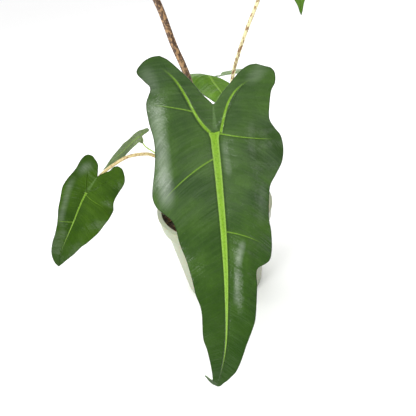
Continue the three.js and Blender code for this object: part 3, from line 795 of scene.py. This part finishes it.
def make_stalk(leaf, material):
    """One stalk from the crown to the underside of its blade, with a grooved sheath at its foot."""
    blade = Blade(leaf)
    joint = blade.place(0, 0)
    ahead = blade.place(2, 0) - joint
    leftward = blade.place(0, 2) - blade.place(0, -2)
    down = ahead.cross(leftward).normalized()
    below = leaf.thickness / 2 + leaf.rib_depth * 0.5
    line = Line([*leaf.stalk, joint + down * below])
    end_radius, foot_radius = leaf.stalk_radius
    groove_depth, groove_width, unevenness, lump_length = 0.25, 0.35, 0.05, 9

    def radius_at(share, angle):
        stalk = end_radius * (1 + STALK_THICKENING * (1 - share))
        sheath = (foot_radius - end_radius) * (1 - share) ** SHEATH_POWER
        aside = math.remainder(angle, 2 * math.pi) / groove_width
        groove = groove_depth * sheath * math.exp(-aside ** 2)
        lump = wander(math.cos(angle), math.sin(angle), share * line.total / lump_length)
        return (stalk + sheath - groove) * (1 + unevenness * lump)

    bm = make_tube(line, radius_at, round(line.total / 2), 24)
    finish_piece(bm, "stalk_" + leaf.name, material, "petiole_" + leaf.name)


# Pot, potting mix and crown

def spin_profile(profile, segments):
    """A closed body of revolution from its profile of (radius, height), on the axis at both ends."""
    bm = bmesh.new()
    verts = [bm.verts.new((radius, 0, height)) for radius, height in profile]
    edges = [bm.edges.new(pair) for pair in zip(verts, verts[1:])]
    bmesh.ops.spin(bm, geom=[*verts, *edges], cent=(0, 0, 0), axis=(0, 0, 1), dvec=(0, 0, 0),
                   angle=2 * math.pi, steps=segments, use_merge=True)
    bmesh.ops.remove_doubles(bm, verts=bm.verts, dist=WELD)
    bmesh.ops.recalc_face_normals(bm, faces=bm.faces)
    return bm


def rounded(corner, before, after, radius, steps=4):
    """Points of a small arc that cuts one corner of a profile."""
    corner, before, after = Vector(corner), Vector(before), Vector(after)
    start = corner + (before - corner).normalized() * radius
    end = corner + (after - corner).normalized() * radius
    points = []
    for i in range(steps + 1):
        t = i / steps
        points.append(tuple(start * (1 - t) ** 2 + corner * 2 * t * (1 - t) + end * t * t))
    return points


def round_profile(profile, radii):
    """The profile with its inner corners rounded."""
    points = [profile[0]]
    for before, corner, after, radius in zip(profile, profile[1:], profile[2:], radii):
        points.extend(rounded(corner, before, after, radius) if radius else [corner])
    points.append(profile[-1])
    return points


def in_mm(settings, *names):
    """Some lengths of the settings, in millimetres."""
    return [getattr(settings, name) / MM for name in names]


def pot_profile(pot):
    """Outline of the pot's wall from the middle of its foot, over the rim, to the middle of its floor."""
    height, wall, floor, lip, depth = in_mm(pot, "height", "wall", "floor", "lip_width", "lip_depth")
    base, top, collar, rim = in_mm(pot, "base_radius", "wall_top_radius", "collar_radius", "rim_radius")
    step = height - pot.collar_height / MM
    below_lip = height - depth
    inner_foot = mix(base, top, floor / step) - wall
    recess, foot_ring = 0.8, 6
    profile = [
        (0, recess), (base - foot_ring - 1, recess), (base - foot_ring, 0), (base, 0), (top, step),
        (collar, step), (rim - RIM_OVERHANG, below_lip), (rim, below_lip + 0.4), (rim, height),
        (rim - lip, height), (rim - lip, below_lip), (rim - RIM_OVERHANG - wall, below_lip - wall),
        (collar - wall, step + wall), (top - wall, step), (inner_foot, floor), (0, floor),
    ]
    radii = [0.4, 0.4, 1.6, 0.5, 0.8, 0.3, 0.2, 1, 1, 0.4, 0.4, 0.6, 0.6, 1.5]
    return round_profile(profile, radii)


def drill(piece, holes):
    """Cuts the holes, given as (x, y, radius) in metres, through the floor of a piece."""
    for x, y, radius in holes:
        bm = bmesh.new()
        bmesh.ops.create_cone(bm, cap_ends=True, segments=24, radius1=radius, radius2=radius, depth=0.02)
        bmesh.ops.translate(bm, verts=bm.verts, vec=(x, y, 0))
        cutter = add_object("drill", bm)
        cut = piece.modifiers.new("drill", "BOOLEAN")
        cut.operation = "DIFFERENCE"
        cut.object = cutter
        with bpy.context.temp_override(object=piece, active_object=piece, selected_objects=[piece]):
            bpy.ops.object.modifier_apply(modifier=cut.name)
        bpy.data.meshes.remove(cutter.data)


def soil_bump(x, y, edge_radius):
    """Uneven height of the mix from -1 to 1 or so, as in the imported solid, dying out at the wall."""
    edge = min(1, math.hypot(x, y) / edge_radius)
    coarse = math.sin(0.21 * x + 0.7) * math.cos(0.19 * y - 0.4)
    fine = math.sin(0.63 * x - 0.5 * y + 1.1) + math.cos(0.57 * y + 0.41 * x)
    return (1 - edge ** 4) * (coarse + 0.5 * fine)


def soil_profile(pot, level):
    """Outline of the mix inside the pot, with many rings on top."""
    gap, rings = 0.3, 34
    step = (pot.height - pot.collar_height) / MM
    wall, floor = in_mm(pot, "wall", "floor")
    base, top, collar, rim = in_mm(pot, "base_radius", "wall_top_radius", "collar_radius", "rim_radius")
    up_the_collar = (level - step) / (pot.collar_height / MM)
    rim_inside = mix(collar, rim - RIM_OVERHANG, up_the_collar) - wall - gap
    profile = [
        (0, floor + gap), (mix(base, top, floor / step) - wall - gap, floor + gap),
        (top - wall - gap, step + gap), (collar - wall - gap, step + wall + gap),
    ]
    profile.extend((rim_inside * (1 - i / rings), level) for i in range(rings + 1))
    return profile


def bark_chip(bm, rng, soil):
    """A flat ragged chip: its corners, size, greatest lean, and range of its lift off the mix."""
    verts = bmesh.ops.create_icosphere(bm, subdivisions=1, radius=0.5)["verts"]
    for vert in verts:
        vert.co *= rng.uniform(0.7, 1.2)
    length = soil.chip_size / MM * rng.uniform(0.4, 1.5)
    size = (length, length * rng.uniform(0.35, 0.8), length * rng.uniform(0.2, 0.45))
    return verts, size, 0.7, (-0.5, 1.1)


def mineral_grain(bm, rng, soil):
    """A pale uneven grain, described like a chip."""
    verts = bmesh.ops.create_icosphere(bm, subdivisions=2, radius=0.5)["verts"]
    offset = Vector((rng.uniform(0, 50), rng.uniform(0, 50), 0))
    for vert in verts:
        vert.co *= 1 + 0.35 * noise.noise(vert.co * 2.4 + offset)
    width = soil.grain_size / MM * rng.uniform(0.5, 1.4)
    return verts, (width, width * 0.85, width * 0.75), 1.5, (0.1, 1)


def coir_fibre(bm, rng, soil):
    """A thin bent fibre, not closed yet, described like a chip but with one fixed lift."""
    verts = bmesh.ops.create_grid(bm, x_segments=6, y_segments=3, size=0.5)["verts"]
    length, bow, thick = rng.uniform(4, 12), rng.uniform(0.2, 2.5), rng.uniform(0.1, 0.18)
    for vert in verts:
        along, angle = vert.co.x, 2 * math.pi * vert.co.y
        arch = bow * (1 - 4 * along * along)
        vert.co = (along * length, arch + thick * math.cos(angle), thick * math.sin(angle))
    return verts, (1, 1, 1), 0.12, (0.8,)


def random_turn(rng, tilt):
    """A turn about Z with a random lean."""
    spin = Matrix.Rotation(2 * math.pi * rng.random(), 4, "Z")
    lean = Matrix.Rotation(rng.uniform(-tilt, tilt), 4, "X")
    return spin @ (lean @ Matrix.Rotation(rng.uniform(-tilt, tilt), 4, "Y"))


def scatter(make_bit, count, reach, soil, rng, height):
    """Places bits at random over the mix, clear of the crown; height(x, y) is that of the mix."""
    bm = bmesh.new()
    clear_of_crown = 15
    while count:
        radius = reach * math.sqrt(rng.random())
        angle = 2 * math.pi * rng.random()
        if radius < clear_of_crown:
            continue
        count -= 1
        x, y = radius * math.cos(angle), radius * math.sin(angle)
        verts, size, tilt, lifts = make_bit(bm, rng, soil)
        turn = random_turn(rng, tilt)
        lift = rng.uniform(*lifts) if len(lifts) == 2 else lifts[0]
        bmesh.ops.scale(bm, vec=size, verts=verts)
        place = Matrix.Translation((x, y, height(x, y) + lift))
        bmesh.ops.transform(bm, matrix=place @ turn, verts=verts)
    return bm


# Materials

class Field:
    """A number, colour or direction that varies over a surface, with plain arithmetic on it."""

    def __init__(self, nodes, socket):
        self.nodes = nodes
        self.socket = socket

    def __add__(self, other):
        return self.nodes.math("ADD", self, other)

    def __sub__(self, other):
        return self.nodes.math("SUBTRACT", self, other)

    def __rsub__(self, other):
        return self.nodes.math("SUBTRACT", other, self)

    def __mul__(self, other):
        return self.nodes.math("MULTIPLY", self, other)

    def __truediv__(self, other):
        return self.nodes.math("DIVIDE", self, other)

    def __abs__(self):
        return self.nodes.math("ABSOLUTE", self)

    __radd__ = __add__

    def span(self, low, high, to_low=0, to_high=1):
        """Smooth step from low..high to to_low..to_high."""
        inputs = {"Value": self, "From Min": low, "From Max": high, "To Min": to_low, "To Max": to_high}
        return self.nodes.add("MapRange", inputs, "Result", interpolation_type="SMOOTHSTEP")


class Nodes:
    """Short ways to build the nodes of one material."""

    def __init__(self, name):
        self.material = bpy.data.materials.new(name)
        self.material.use_nodes = True
        self.tree = self.material.node_tree

    def set(self, node, inputs):
        """Fills the sockets of a node with values or with fields."""
        for key, value in inputs.items():
            socket = node.inputs[key]
            if isinstance(value, Field):
                self.tree.links.new(value.socket, socket)
            elif hasattr(socket.default_value, "__len__") and len(value) < len(socket.default_value):
                socket.default_value = (*value, 1)
            else:
                socket.default_value = value

    def add(self, kind, inputs=None, output=0, **options):
        """One output of a new node with its options and inputs."""
        node = self.tree.nodes.new("ShaderNode" + kind)
        for option, value in options.items():
            setattr(node, option, value)
        self.set(node, inputs or {})
        return Field(self, node.outputs[output])

    def math(self, operation, *values, clamp=False):
        return self.add("Math", dict(enumerate(values)), operation=operation, use_clamp=clamp)

    def stretch(self, place, factors):
        return self.add("VectorMath", {0: place, 1: factors}, operation="MULTIPLY")

    def join(self, x, y, z):
        return self.add("CombineXYZ", {0: x, 1: y, 2: z})

    def blend(self, share, a, b):
        """Colour between a and b."""
        return self.add("Mix", {0: share, 6: a, 7: b}, 2, data_type="RGBA")

    def noise(self, place, scale, detail=3, roughness=0.55):
        inputs = {"Vector": place, "Scale": scale, "Detail": detail, "Roughness": roughness}
        return self.add("TexNoise", inputs, "Fac")

    def cells(self, place, scale):
        return self.add("TexVoronoi", {"Vector": place, "Scale": scale}, "Distance")

    def place(self):
        """Object coordinates, in metres."""
        return self.add("TexCoord", output="Object")

    def unwrapped(self, name):
        """The two numbers of a UV map."""
        uv = self.add("UVMap", uv_map=name)
        return [self.add("SeparateXYZ", {0: uv}, output=i) for i in (0, 1)]

    def own(self, name):
        """A value stored in the corners of the mesh."""
        return self.add("Attribute", output="Fac", attribute_name=name)

    def relief(self, *layers):
        """Heights, each with its depth in metres, laid one over another."""
        normal = None
        for height, depth in layers:
            below = {"Normal": normal} if normal else {}
            normal = self.add("Bump", {"Height": height, "Distance": depth, "Strength": 1, **below})
        return normal

    def finish(self, **inputs):
        """Sets the surface's own sockets and returns the material."""
        surface = self.tree.nodes["Principled BSDF"]
        self.set(surface, {key.replace("_", " "): value for key, value in inputs.items()})
        return self.material


def tint(colour, share, lift=0):
    return tuple(min(1, part * share + lift) for part in colour)


def along_line(u, v, start, end):
    """How far a flat place lies along a line and to its left, and how long the line is."""
    run = math.dist(start, end)
    along_u, along_v = (end[0] - start[0]) / run, (end[1] - start[1]) / run
    du, dv = u - start[0], v - start[1]
    return du * along_u + dv * along_v, dv * along_u - du * along_v, run


def roll_height(u, v, rolls):
    """Height in millimetres of the soft swells of a blade."""
    height = 0
    for start, end, width, fall in rolls:
        along, aside, run = along_line(u, v, start, end)
        share = along / run
        ends = share.span(0, 0.25) * share.span(0.75, 1, 1, 0)
        height = height + aside.span(0, width, 0, -fall) * ends
    return height


def painted_sheen_mask(nodes, u, v, blooms):
    """How much painted sheen a flat place has: soft pale bands of reflected light along straight lines."""
    mask = 0
    for start, end, width, strength in blooms:
        along, aside, run = along_line(u, v, start, end)
        ends = along.span(-width, width) * along.span(run + width, run - width)
        mask = nodes.math("MAXIMUM", mask, abs(aside).span(0, width, strength, 0) * ends)
    return mask


def vein_mask(u, v, vein):
    """How much of one bowed vein, thinner towards its end, and of its shadow is at a flat place."""
    start, end, (bow, late_bow), width, strength = vein
    along, aside, run = along_line(u, v, start, end)
    share = along / run
    if end[1] < start[1]:
        aside = aside * -1
    arch = share * (1 - share) * -4 * (share * (late_bow - bow) + bow)
    off = aside - arch
    ends = share.span(-0.02, 0.02) * share.span(0.6, 1, 1, 0) * strength
    half = share * (-0.55 * width) + width
    line = (half - abs(off)).span(-0.35 * width, 0.5 * width)
    beside = abs(off + (0.9 * width + 0.3))
    shadow = (0.8 * width + 0.5 - beside).span(0, 0.8)
    return line * ends, shadow * ends


def midrib_mask(u, v, pattern):
    """How much of the pale midrib, of the painted highlights along its edges and of its shadow is at a flat
    place.
    """
    wide = pattern["band"][0]
    way = u / pattern["length"]
    flare = u.span(0, 1.6 * wide, 0.32 * wide, 0)
    taper = way.span(0.3, 0.75, 0, 0.22 * wide)
    half = way * (-0.8 * MIDRIB_TAPER * wide) + 0.92 * wide + flare - taper
    off = abs(v - way.span(0.2, 0.55, 0.24 * wide, 0))
    inside = half - off
    line = inside.span(-0.12 * wide, 0.12 * wide)
    # Painted highlight along both edges of the midrib's raised band.
    edges = line * inside.span(0.1 * wide, 0.5 * wide, 1, 0)
    shadow = inside.span(-0.65 * wide, -0.1 * wide)
    whole = (off * 0.2 + u).span(-0.1 * wide, 0.15 * wide) * way.span(0.72, 0.9, 1, 0)
    return [part * whole for part in (line, edges, shadow)]


def crease_reflection_mask(u, v, notch):
    """How much of the painted reflection along the crease between the lobes, wider towards the joint, is at a
    flat place.
    """
    way = 1 - u / notch
    line = (abs(v) / (way * 2.4 + 0.7)).span(0.2, 1, 1, 0)
    return line * (way.span(0, 0.1) * way.span(0.75, 0.95, 1, 0))


def blade_streaks(nodes, u, v):
    """Fine streaks, broad furrows and crinkles, which run out from the midrib and bend outwards."""
    reach = abs(v)
    side = nodes.math("SIGN", v) * 7
    turning_length, slant, bend = 40, 0.5, 0.006
    lean = u / nodes.math("SQRT", u * u + turning_length ** 2)
    course = u - lean * reach * slant - reach * reach * bend
    streak = nodes.noise(nodes.join(course, reach * 0.09, side), 0.62, 3, 0.6)
    furrow = nodes.noise(nodes.join(course, reach * 0.05, side), 0.17, 2, 0.5)
    crinkle = nodes.noise(nodes.join(course, v * 0.22, side), 0.3, 4, 0.65)
    return streak, furrow, crinkle


def leaf_material(name, green, shine, leaves, pattern):
    """Glossy blade with pale ribs and veins, painted highlights on the midrib's edges, painted shadows beside
    the ribs, fine streaks, painted sheen bands, a painted reflection along the crease between the lobes,
    painted shade towards the tip and a matt underside.
    """
    nodes = Nodes(name)
    v, u = (part * FLAT_SPAN - middle for part, middle in zip(nodes.unwrapped("flat"), FLAT_MIDDLE))
    spot = nodes.place()
    under = nodes.own("under")
    patches = nodes.noise(spot, 38)
    speckle = nodes.noise(spot, 620, 3, 0.6).span(0.42, 0.66)
    streak, furrow, crinkle = blade_streaks(nodes, u, v)
    rib, rib_highlights, shadow = midrib_mask(u, v, pattern)
    veins = 0
    for vein in pattern["veins"]:
        line, dark_side = vein_mask(u, v, vein)
        veins = nodes.math("MAXIMUM", veins, line)
        shadow = nodes.math("MAXIMUM", shadow, dark_side)
    pale = nodes.math("MAXIMUM", rib * pattern["pale"], veins, clamp=True)
    # Painted sheen: soft pale bands of reflected light, streaked, to be mixed into the top colour.
    painted_sheen = streak.span(0.3, 0.7, 0.7, 1.15) * painted_sheen_mask(nodes, u, v, pattern["blooms"])

    deep = tint(green, 0.66)
    light = (green[0] * 1.4 + 0.004, green[1] * 1.25, green[2] * 1.2)
    base = nodes.blend(patches.span(0.3, 0.72), deep, light)
    base = nodes.blend(streak.span(0.46, 0.7, 0, 0.4), base, light)
    base = nodes.blend(furrow.span(0.5, 0.3, 0, 0.35), base, deep)
    base = nodes.blend(abs(v).span(0, 16, 0.2, 0), base, light)
    # Painted shade: the colour grows darker and deeper green towards the tip of the blade.
    base = nodes.blend((u / pattern["length"]).span(0.3, 0.95, 0, 0.85), base, deep)
    # Painted reflection: a pale band along the crease between the lobes, in the underside's colour.
    base = nodes.blend(crease_reflection_mask(u, v, pattern["notch"]) * 0.22, base, leaves.under)
    # Painted sheen laid over the green.
    base = nodes.blend(painted_sheen, base, PAINTED_SHEEN)
    base = nodes.blend(shadow * 0.5, base, tint(green, 0.45))
    rib_colour = nodes.blend(speckle * 0.3, leaves.rib, light)
    # Painted highlight along the midrib's edges.
    rib_colour = nodes.blend(rib_highlights * 0.4, rib_colour, leaves.rib_highlight)
    top = nodes.blend(pale, base, rib_colour)
    top = nodes.blend(nodes.own("edge").span(0.1, 0.9, 0.75, 0), top, tint(green, 0.35))
    colour = nodes.blend(under, top, nodes.blend(pale, leaves.under, leaves.rib))

    relief = nodes.relief(
        (roll_height(u, v, pattern["rolls"]), MM), (streak, 0.0004), (furrow, 0.0012),
        (crinkle, 0.00038), (nodes.cells(spot, 620), 0.00011), (veins, -0.0003),
        (nodes.noise(spot, 2600, 2), 0.000012))
    rough = patches.span(0.3, 0.7, leaves.gloss - 0.04, leaves.gloss + 0.08) + under * 0.25
    return nodes.finish(Base_Color=colour, Roughness=rough, Normal=relief, Specular_IOR_Level=shine,
                        Coat_Weight=shine * 0.3, Coat_Roughness=0.12)


def stalk_material(name, ground, mottle, amount):
    """Satin stalk with ragged cross bands of a darker colour over a pale ground."""
    nodes = Nodes(name)
    turn, way = nodes.unwrapped("round")
    length = way * STALK_SPAN
    angle = turn * (2 * math.pi / TURN_WIDTH)
    ring = nodes.join(nodes.math("COSINE", angle), nodes.math("SINE", angle), length * 0.3)
    bands = nodes.noise(ring, 0.95, 3, 0.6)
    flecks = nodes.noise(nodes.stretch(ring, (3, 3, 1.6)), 1.7, 3, 0.6)
    threads = nodes.noise(nodes.stretch(ring, (9, 9, 0.25)), 1, 2)
    plain = length.span(6, 34, 0.12, 0)
    mask = (bands * 0.7 + flecks * 0.3 - plain).span(0.56 - amount, 0.6 - amount)
    colour = nodes.blend(mask, nodes.blend(threads, ground, tint(ground, 1.25)), mottle)
    relief = nodes.relief((threads, 0.00008), (mask, 0.00003))
    return nodes.finish(Base_Color=colour, Roughness=mask.span(0, 1, 0.38, 0.5), Normal=relief)


def plastic_material(name, base):
    """Moulded plastic with a faint mottle, fine turning marks and faint pale scuffs scattered at random."""
    nodes = Nodes(name)
    spot = nodes.place()
    rings = nodes.noise(nodes.stretch(spot, (3, 3, 900)), 1, 2)
    scuff = nodes.noise(spot, 160, 5, 0.7).span(0.6, 0.72)
    colour = nodes.blend(nodes.noise(spot, 26), tint(base, 0.93), tint(base, 1.06))
    colour = nodes.blend(scuff * 0.12, colour, (0.8, 0.82, 0.76))
    relief = nodes.relief((rings, 0.00003), (nodes.noise(spot, 1500, 2), 0.00002))
    return nodes.finish(Base_Color=colour, Roughness=scuff.span(0, 1, 0.36, 0.52), Normal=relief,
                        Subsurface_Weight=0.12, Subsurface_Scale=0.004)


def rough_material(name, base, size, depth, rough=0.92):
    """Dull crumbly stuff such as mix, bark or grains; size in metres is its largest feature."""
    nodes = Nodes(name)
    spot = nodes.place()
    cloud = nodes.noise(spot, 1 / size, 5, 0.65).span(0.34, 0.66)
    fine = nodes.noise(spot, 12 / size, 3, 0.7)
    colour = nodes.blend(cloud, tint(base, 0.4), tint(base, 1.9, 0.01))
    colour = nodes.blend(fine.span(0.5, 0.7, 0, 0.6), colour, base)
    relief = nodes.relief((nodes.cells(spot, 3.5 / size), depth), (fine, depth * 0.5))
    return nodes.finish(Base_Color=colour, Roughness=rough, Normal=relief)


def floor_material(name, base):
    """Plain matt white floor with the faintest unevenness."""
    nodes = Nodes(name)
    colour = nodes.blend(nodes.noise(nodes.place(), 3, 2), tint(base, 0.99), base)
    return nodes.finish(Base_Color=colour, Roughness=0.9)


# Operators

class ALOCASIA_OT_pot(bpy.types.Operator):
    """Builds the nursery pot with its rolled lip, collar and drain holes"""
    bl_idname = "alocasia.pot"
    bl_label = "Pot"

    def execute(self, context):
        pot = context.scene.alocasia_pot
        bm = spin_profile(pot_profile(pot), 144)
        material = plastic_material("sage_plastic", pot.colour)
        piece = finish_piece(bm, "pot_shell", material, "pot")
        ring, radius, count = 0.031, 0.004, 6
        angles = [2 * math.pi * i / count for i in range(count)]
        drill(piece, [(ring * math.cos(a), ring * math.sin(a), radius) for a in angles])
        return {"FINISHED"}


class ALOCASIA_OT_soil(bpy.types.Operator):
    """Builds the potting mix and the chips, grains and fibres on it"""
    bl_idname = "alocasia.soil"
    bl_label = "Potting mix"

    def execute(self, context):
        pot, soil = context.scene.alocasia_pot, context.scene.alocasia_soil
        level, bumps = soil.level / MM, soil.roughness / MM
        edge = pot.wall_top_radius / MM

        def height(x, y):
            return level + bumps * soil_bump(x, y, edge)

        bm = spin_profile(soil_profile(pot, level), 160)
        for vert in bm.verts:
            x, y, z = vert.co
            if z > level - 0.01:
                rough = 0.8 * wander(x / 3, y / 3, 0) + 0.5 * wander(x, y, 5)
                vert.co.z = height(x, y) + rough - 0.3
        mix_material = rough_material("potting_mix", soil.colour, 0.004, 0.0012)
        finish_piece(bm, "mix_body", mix_material, "soil")
        rng = random.Random(soil.seed)
        reach = edge - 1.6
        litter = (
            ("bark_chips", bark_chip, soil.chips, reach, "bark", soil.bark_colour, 0.003, 0.0004),
            ("pale_grains", mineral_grain, soil.grains, reach, "grain", soil.grain_colour, 0.0012, 0.0002),
            ("coir_fibres", coir_fibre, soil.fibres, reach - 7, "coir", shade("7a5a3c"), 0.002, 0.0001),
        )
        for name, make_bit, count, within, *stuff in litter:
            bm = scatter(make_bit, count, within, soil, rng, height)
            if make_bit is coir_fibre:
                close(bm)
            finish_piece(bm, name, rough_material(*stuff))
        return {"FINISHED"}


class ALOCASIA_OT_crown(bpy.types.Operator):
    """Builds the short rhizome stub, ringed by old leaf scars"""
    bl_idname = "alocasia.crown"
    bl_label = "Crown"

    def execute(self, context):
        bottom, top, radius, rings = 66, 103, 14, 26
        scars, scar_height, shoulder = 5, 0.45, 0.86
        profile = [(0, bottom)]
        for i in range(rings + 1):
            share = i / rings
            dome = math.sqrt(max(0, 1 - max(0, (share - shoulder) / 0.16) ** 2))
            scar = scar_height * abs(math.sin(share * scars * math.pi))
            profile.append(((radius - 0.8 + scar) * dome, bottom + (top - bottom) * share))
        profile.append((0, top))
        bm = spin_profile(profile, 72)
        for vert in bm.verts:
            x, y, z = vert.co
            push = 0.5 * noise.noise(vert.co * 0.35) + 0.25 * wander(x, y, z * 0.2)
            if math.hypot(x, y) > 0.1:
                vert.co += Vector((x, y, 0)).normalized() * push
        colour = context.scene.alocasia_stalks.crown
        material = rough_material("rhizome", colour, 0.006, 0.0005, 0.8)
        finish_piece(bm, "rhizome_stub", material, "crown")
        return {"FINISHED"}


class ALOCASIA_OT_stalks(bpy.types.Operator):
    """Builds the seven mottled stalks"""
    bl_idname = "alocasia.stalks"
    bl_label = "Stalks"

    def execute(self, context):
        stalks = context.scene.alocasia_stalks
        materials = {
            "brown": stalk_material("brown_stalk", stalks.buff, stalks.brown, 0.1),
            "tan": stalk_material("tan_stalk", stalks.straw, stalks.tan, 0.065),
            "khaki": stalk_material("khaki_stalk", stalks.khaki, stalks.tan, 0.03),
            "green": stalk_material("green_stalk", stalks.green, stalks.olive, -0.04),
        }
        for leaf in LEAVES:
            make_stalk(leaf, materials[leaf.bark])
        return {"FINISHED"}


class ALOCASIA_OT_blades(bpy.types.Operator):
    """Builds the seven arrow-shaped blades"""
    bl_idname = "alocasia.blades"
    bl_label = "Blades"

    def execute(self, context):
        leaves = context.scene.alocasia_leaves
        materials = {}
        for leaf in LEAVES:
            tone, pattern = leaf.tone, leaf.pattern
            name = f"leaf_{tone}_{pattern['length']:.0f}"
            if name not in materials:
                materials[name] = leaf_material(name, getattr(leaves, tone), SHINE[tone], leaves, pattern)
            make_blade(leaf, materials[name], leaves.quilt / MM)
        return {"FINISHED"}


class ALOCASIA_OT_stage(bpy.types.Operator):
    """Sets the floor, the soft lights and the camera"""
    bl_idname = "alocasia.stage"
    bl_label = "Stage"

    def execute(self, context):
        stage = context.scene.alocasia_stage
        self.floor(stage)
        self.world(context, stage)
        self.light("wide_light", "SUN", SUN_PLACE, stage.sun, math.radians(90))
        for name, place, size in SOFTBOXES:
            self.light(name + "_softbox", "AREA", place, getattr(stage, name), size)
        self.camera(context, stage)
        context.scene.view_settings.view_transform = "Standard"
        return {"FINISHED"}

    def floor(self, stage):
        bm = bmesh.new()
        bmesh.ops.create_grid(bm, x_segments=4, y_segments=4, size=stage.floor_size / 2)
        floor = add_object("floor", bm)
        floor.data.materials.append(floor_material("white_floor", stage.floor_colour))

    def world(self, context, stage):
        world = bpy.data.worlds.new("studio")
        world.use_nodes = True
        background = world.node_tree.nodes["Background"]
        background.inputs["Color"].default_value = (1, 1, 1, 1)
        background.inputs["Strength"].default_value = stage.sky
        context.scene.world = world

    def light(self, name, kind, place, power, size):
        """A lamp that looks at the plant; size is the sun's angle or a softbox's width and height."""
        data = bpy.data.lights.new(name, kind)
        data.energy = power
        if kind == "SUN":
            data.angle = size
        else:
            data.shape = "RECTANGLE"
            data.size, data.size_y = size
        lamp = add_object(name, data)
        lamp.location = place
        lamp.rotation_euler = (Vector(LIT_POINT) - Vector(place)).to_track_quat("-Z", "Y").to_euler()

    def camera(self, context, stage):
        data = bpy.data.cameras.new("view")
        data.lens = data.sensor_width * stage.focal_share
        data.clip_start = 0.01
        look = Matrix.Rotation(math.pi / 2 - stage.camera_pitch, 4, "X")
        roll = Matrix.Rotation(stage.camera_roll, 4, "Z")
        camera = add_object("view", data)
        camera.matrix_world = Matrix.Translation(stage.camera_place) @ look @ roll
        context.scene.camera = camera


class ALOCASIA_PT_sidebar(bpy.types.Panel):
    """Lists the pieces of the plant in the 3D view's sidebar"""
    bl_idname = "ALOCASIA_PT_sidebar"
    bl_label = "Potted alocasia"
    bl_space_type = "VIEW_3D"
    bl_region_type = "UI"
    bl_category = "Alocasia"

    def draw(self, context):
        for operator, settings in PIECES:
            self.layout.operator(operator.bl_idname)
            group = getattr(context.scene, settings)
            for key in group.bl_rna.properties.keys():
                if key not in ("rna_type", "name"):
                    self.layout.prop(group, key)


SETTINGS = {
    "alocasia_pot": AlocasiaPotSettings,
    "alocasia_soil": AlocasiaSoilSettings,
    "alocasia_leaves": AlocasiaLeafSettings,
    "alocasia_stalks": AlocasiaStalkSettings,
    "alocasia_stage": AlocasiaStageSettings,
}
PIECES = (
    (ALOCASIA_OT_pot, "alocasia_pot"),
    (ALOCASIA_OT_soil, "alocasia_soil"),
    (ALOCASIA_OT_crown, "alocasia_stalks"),
    (ALOCASIA_OT_stalks, "alocasia_stalks"),
    (ALOCASIA_OT_blades, "alocasia_leaves"),
    (ALOCASIA_OT_stage, "alocasia_stage"),
)


def register():
    for name, group in SETTINGS.items():
        bpy.utils.register_class(group)
        setattr(bpy.types.Scene, name, PointerProperty(type=group))
    for operator, _ in PIECES:
        bpy.utils.register_class(operator)
    bpy.utils.register_class(ALOCASIA_PT_sidebar)


def unregister():
    bpy.utils.unregister_class(ALOCASIA_PT_sidebar)
    for operator, _ in reversed(PIECES):
        bpy.utils.unregister_class(operator)
    for name, group in SETTINGS.items():
        delattr(bpy.types.Scene, name)
        bpy.utils.unregister_class(group)


def main():
    register()
    bpy.ops.alocasia.pot()
    bpy.ops.alocasia.soil()
    bpy.ops.alocasia.crown()
    bpy.ops.alocasia.stalks()
    bpy.ops.alocasia.blades()
    bpy.ops.alocasia.stage()


if __name__ == "__main__":
    main()
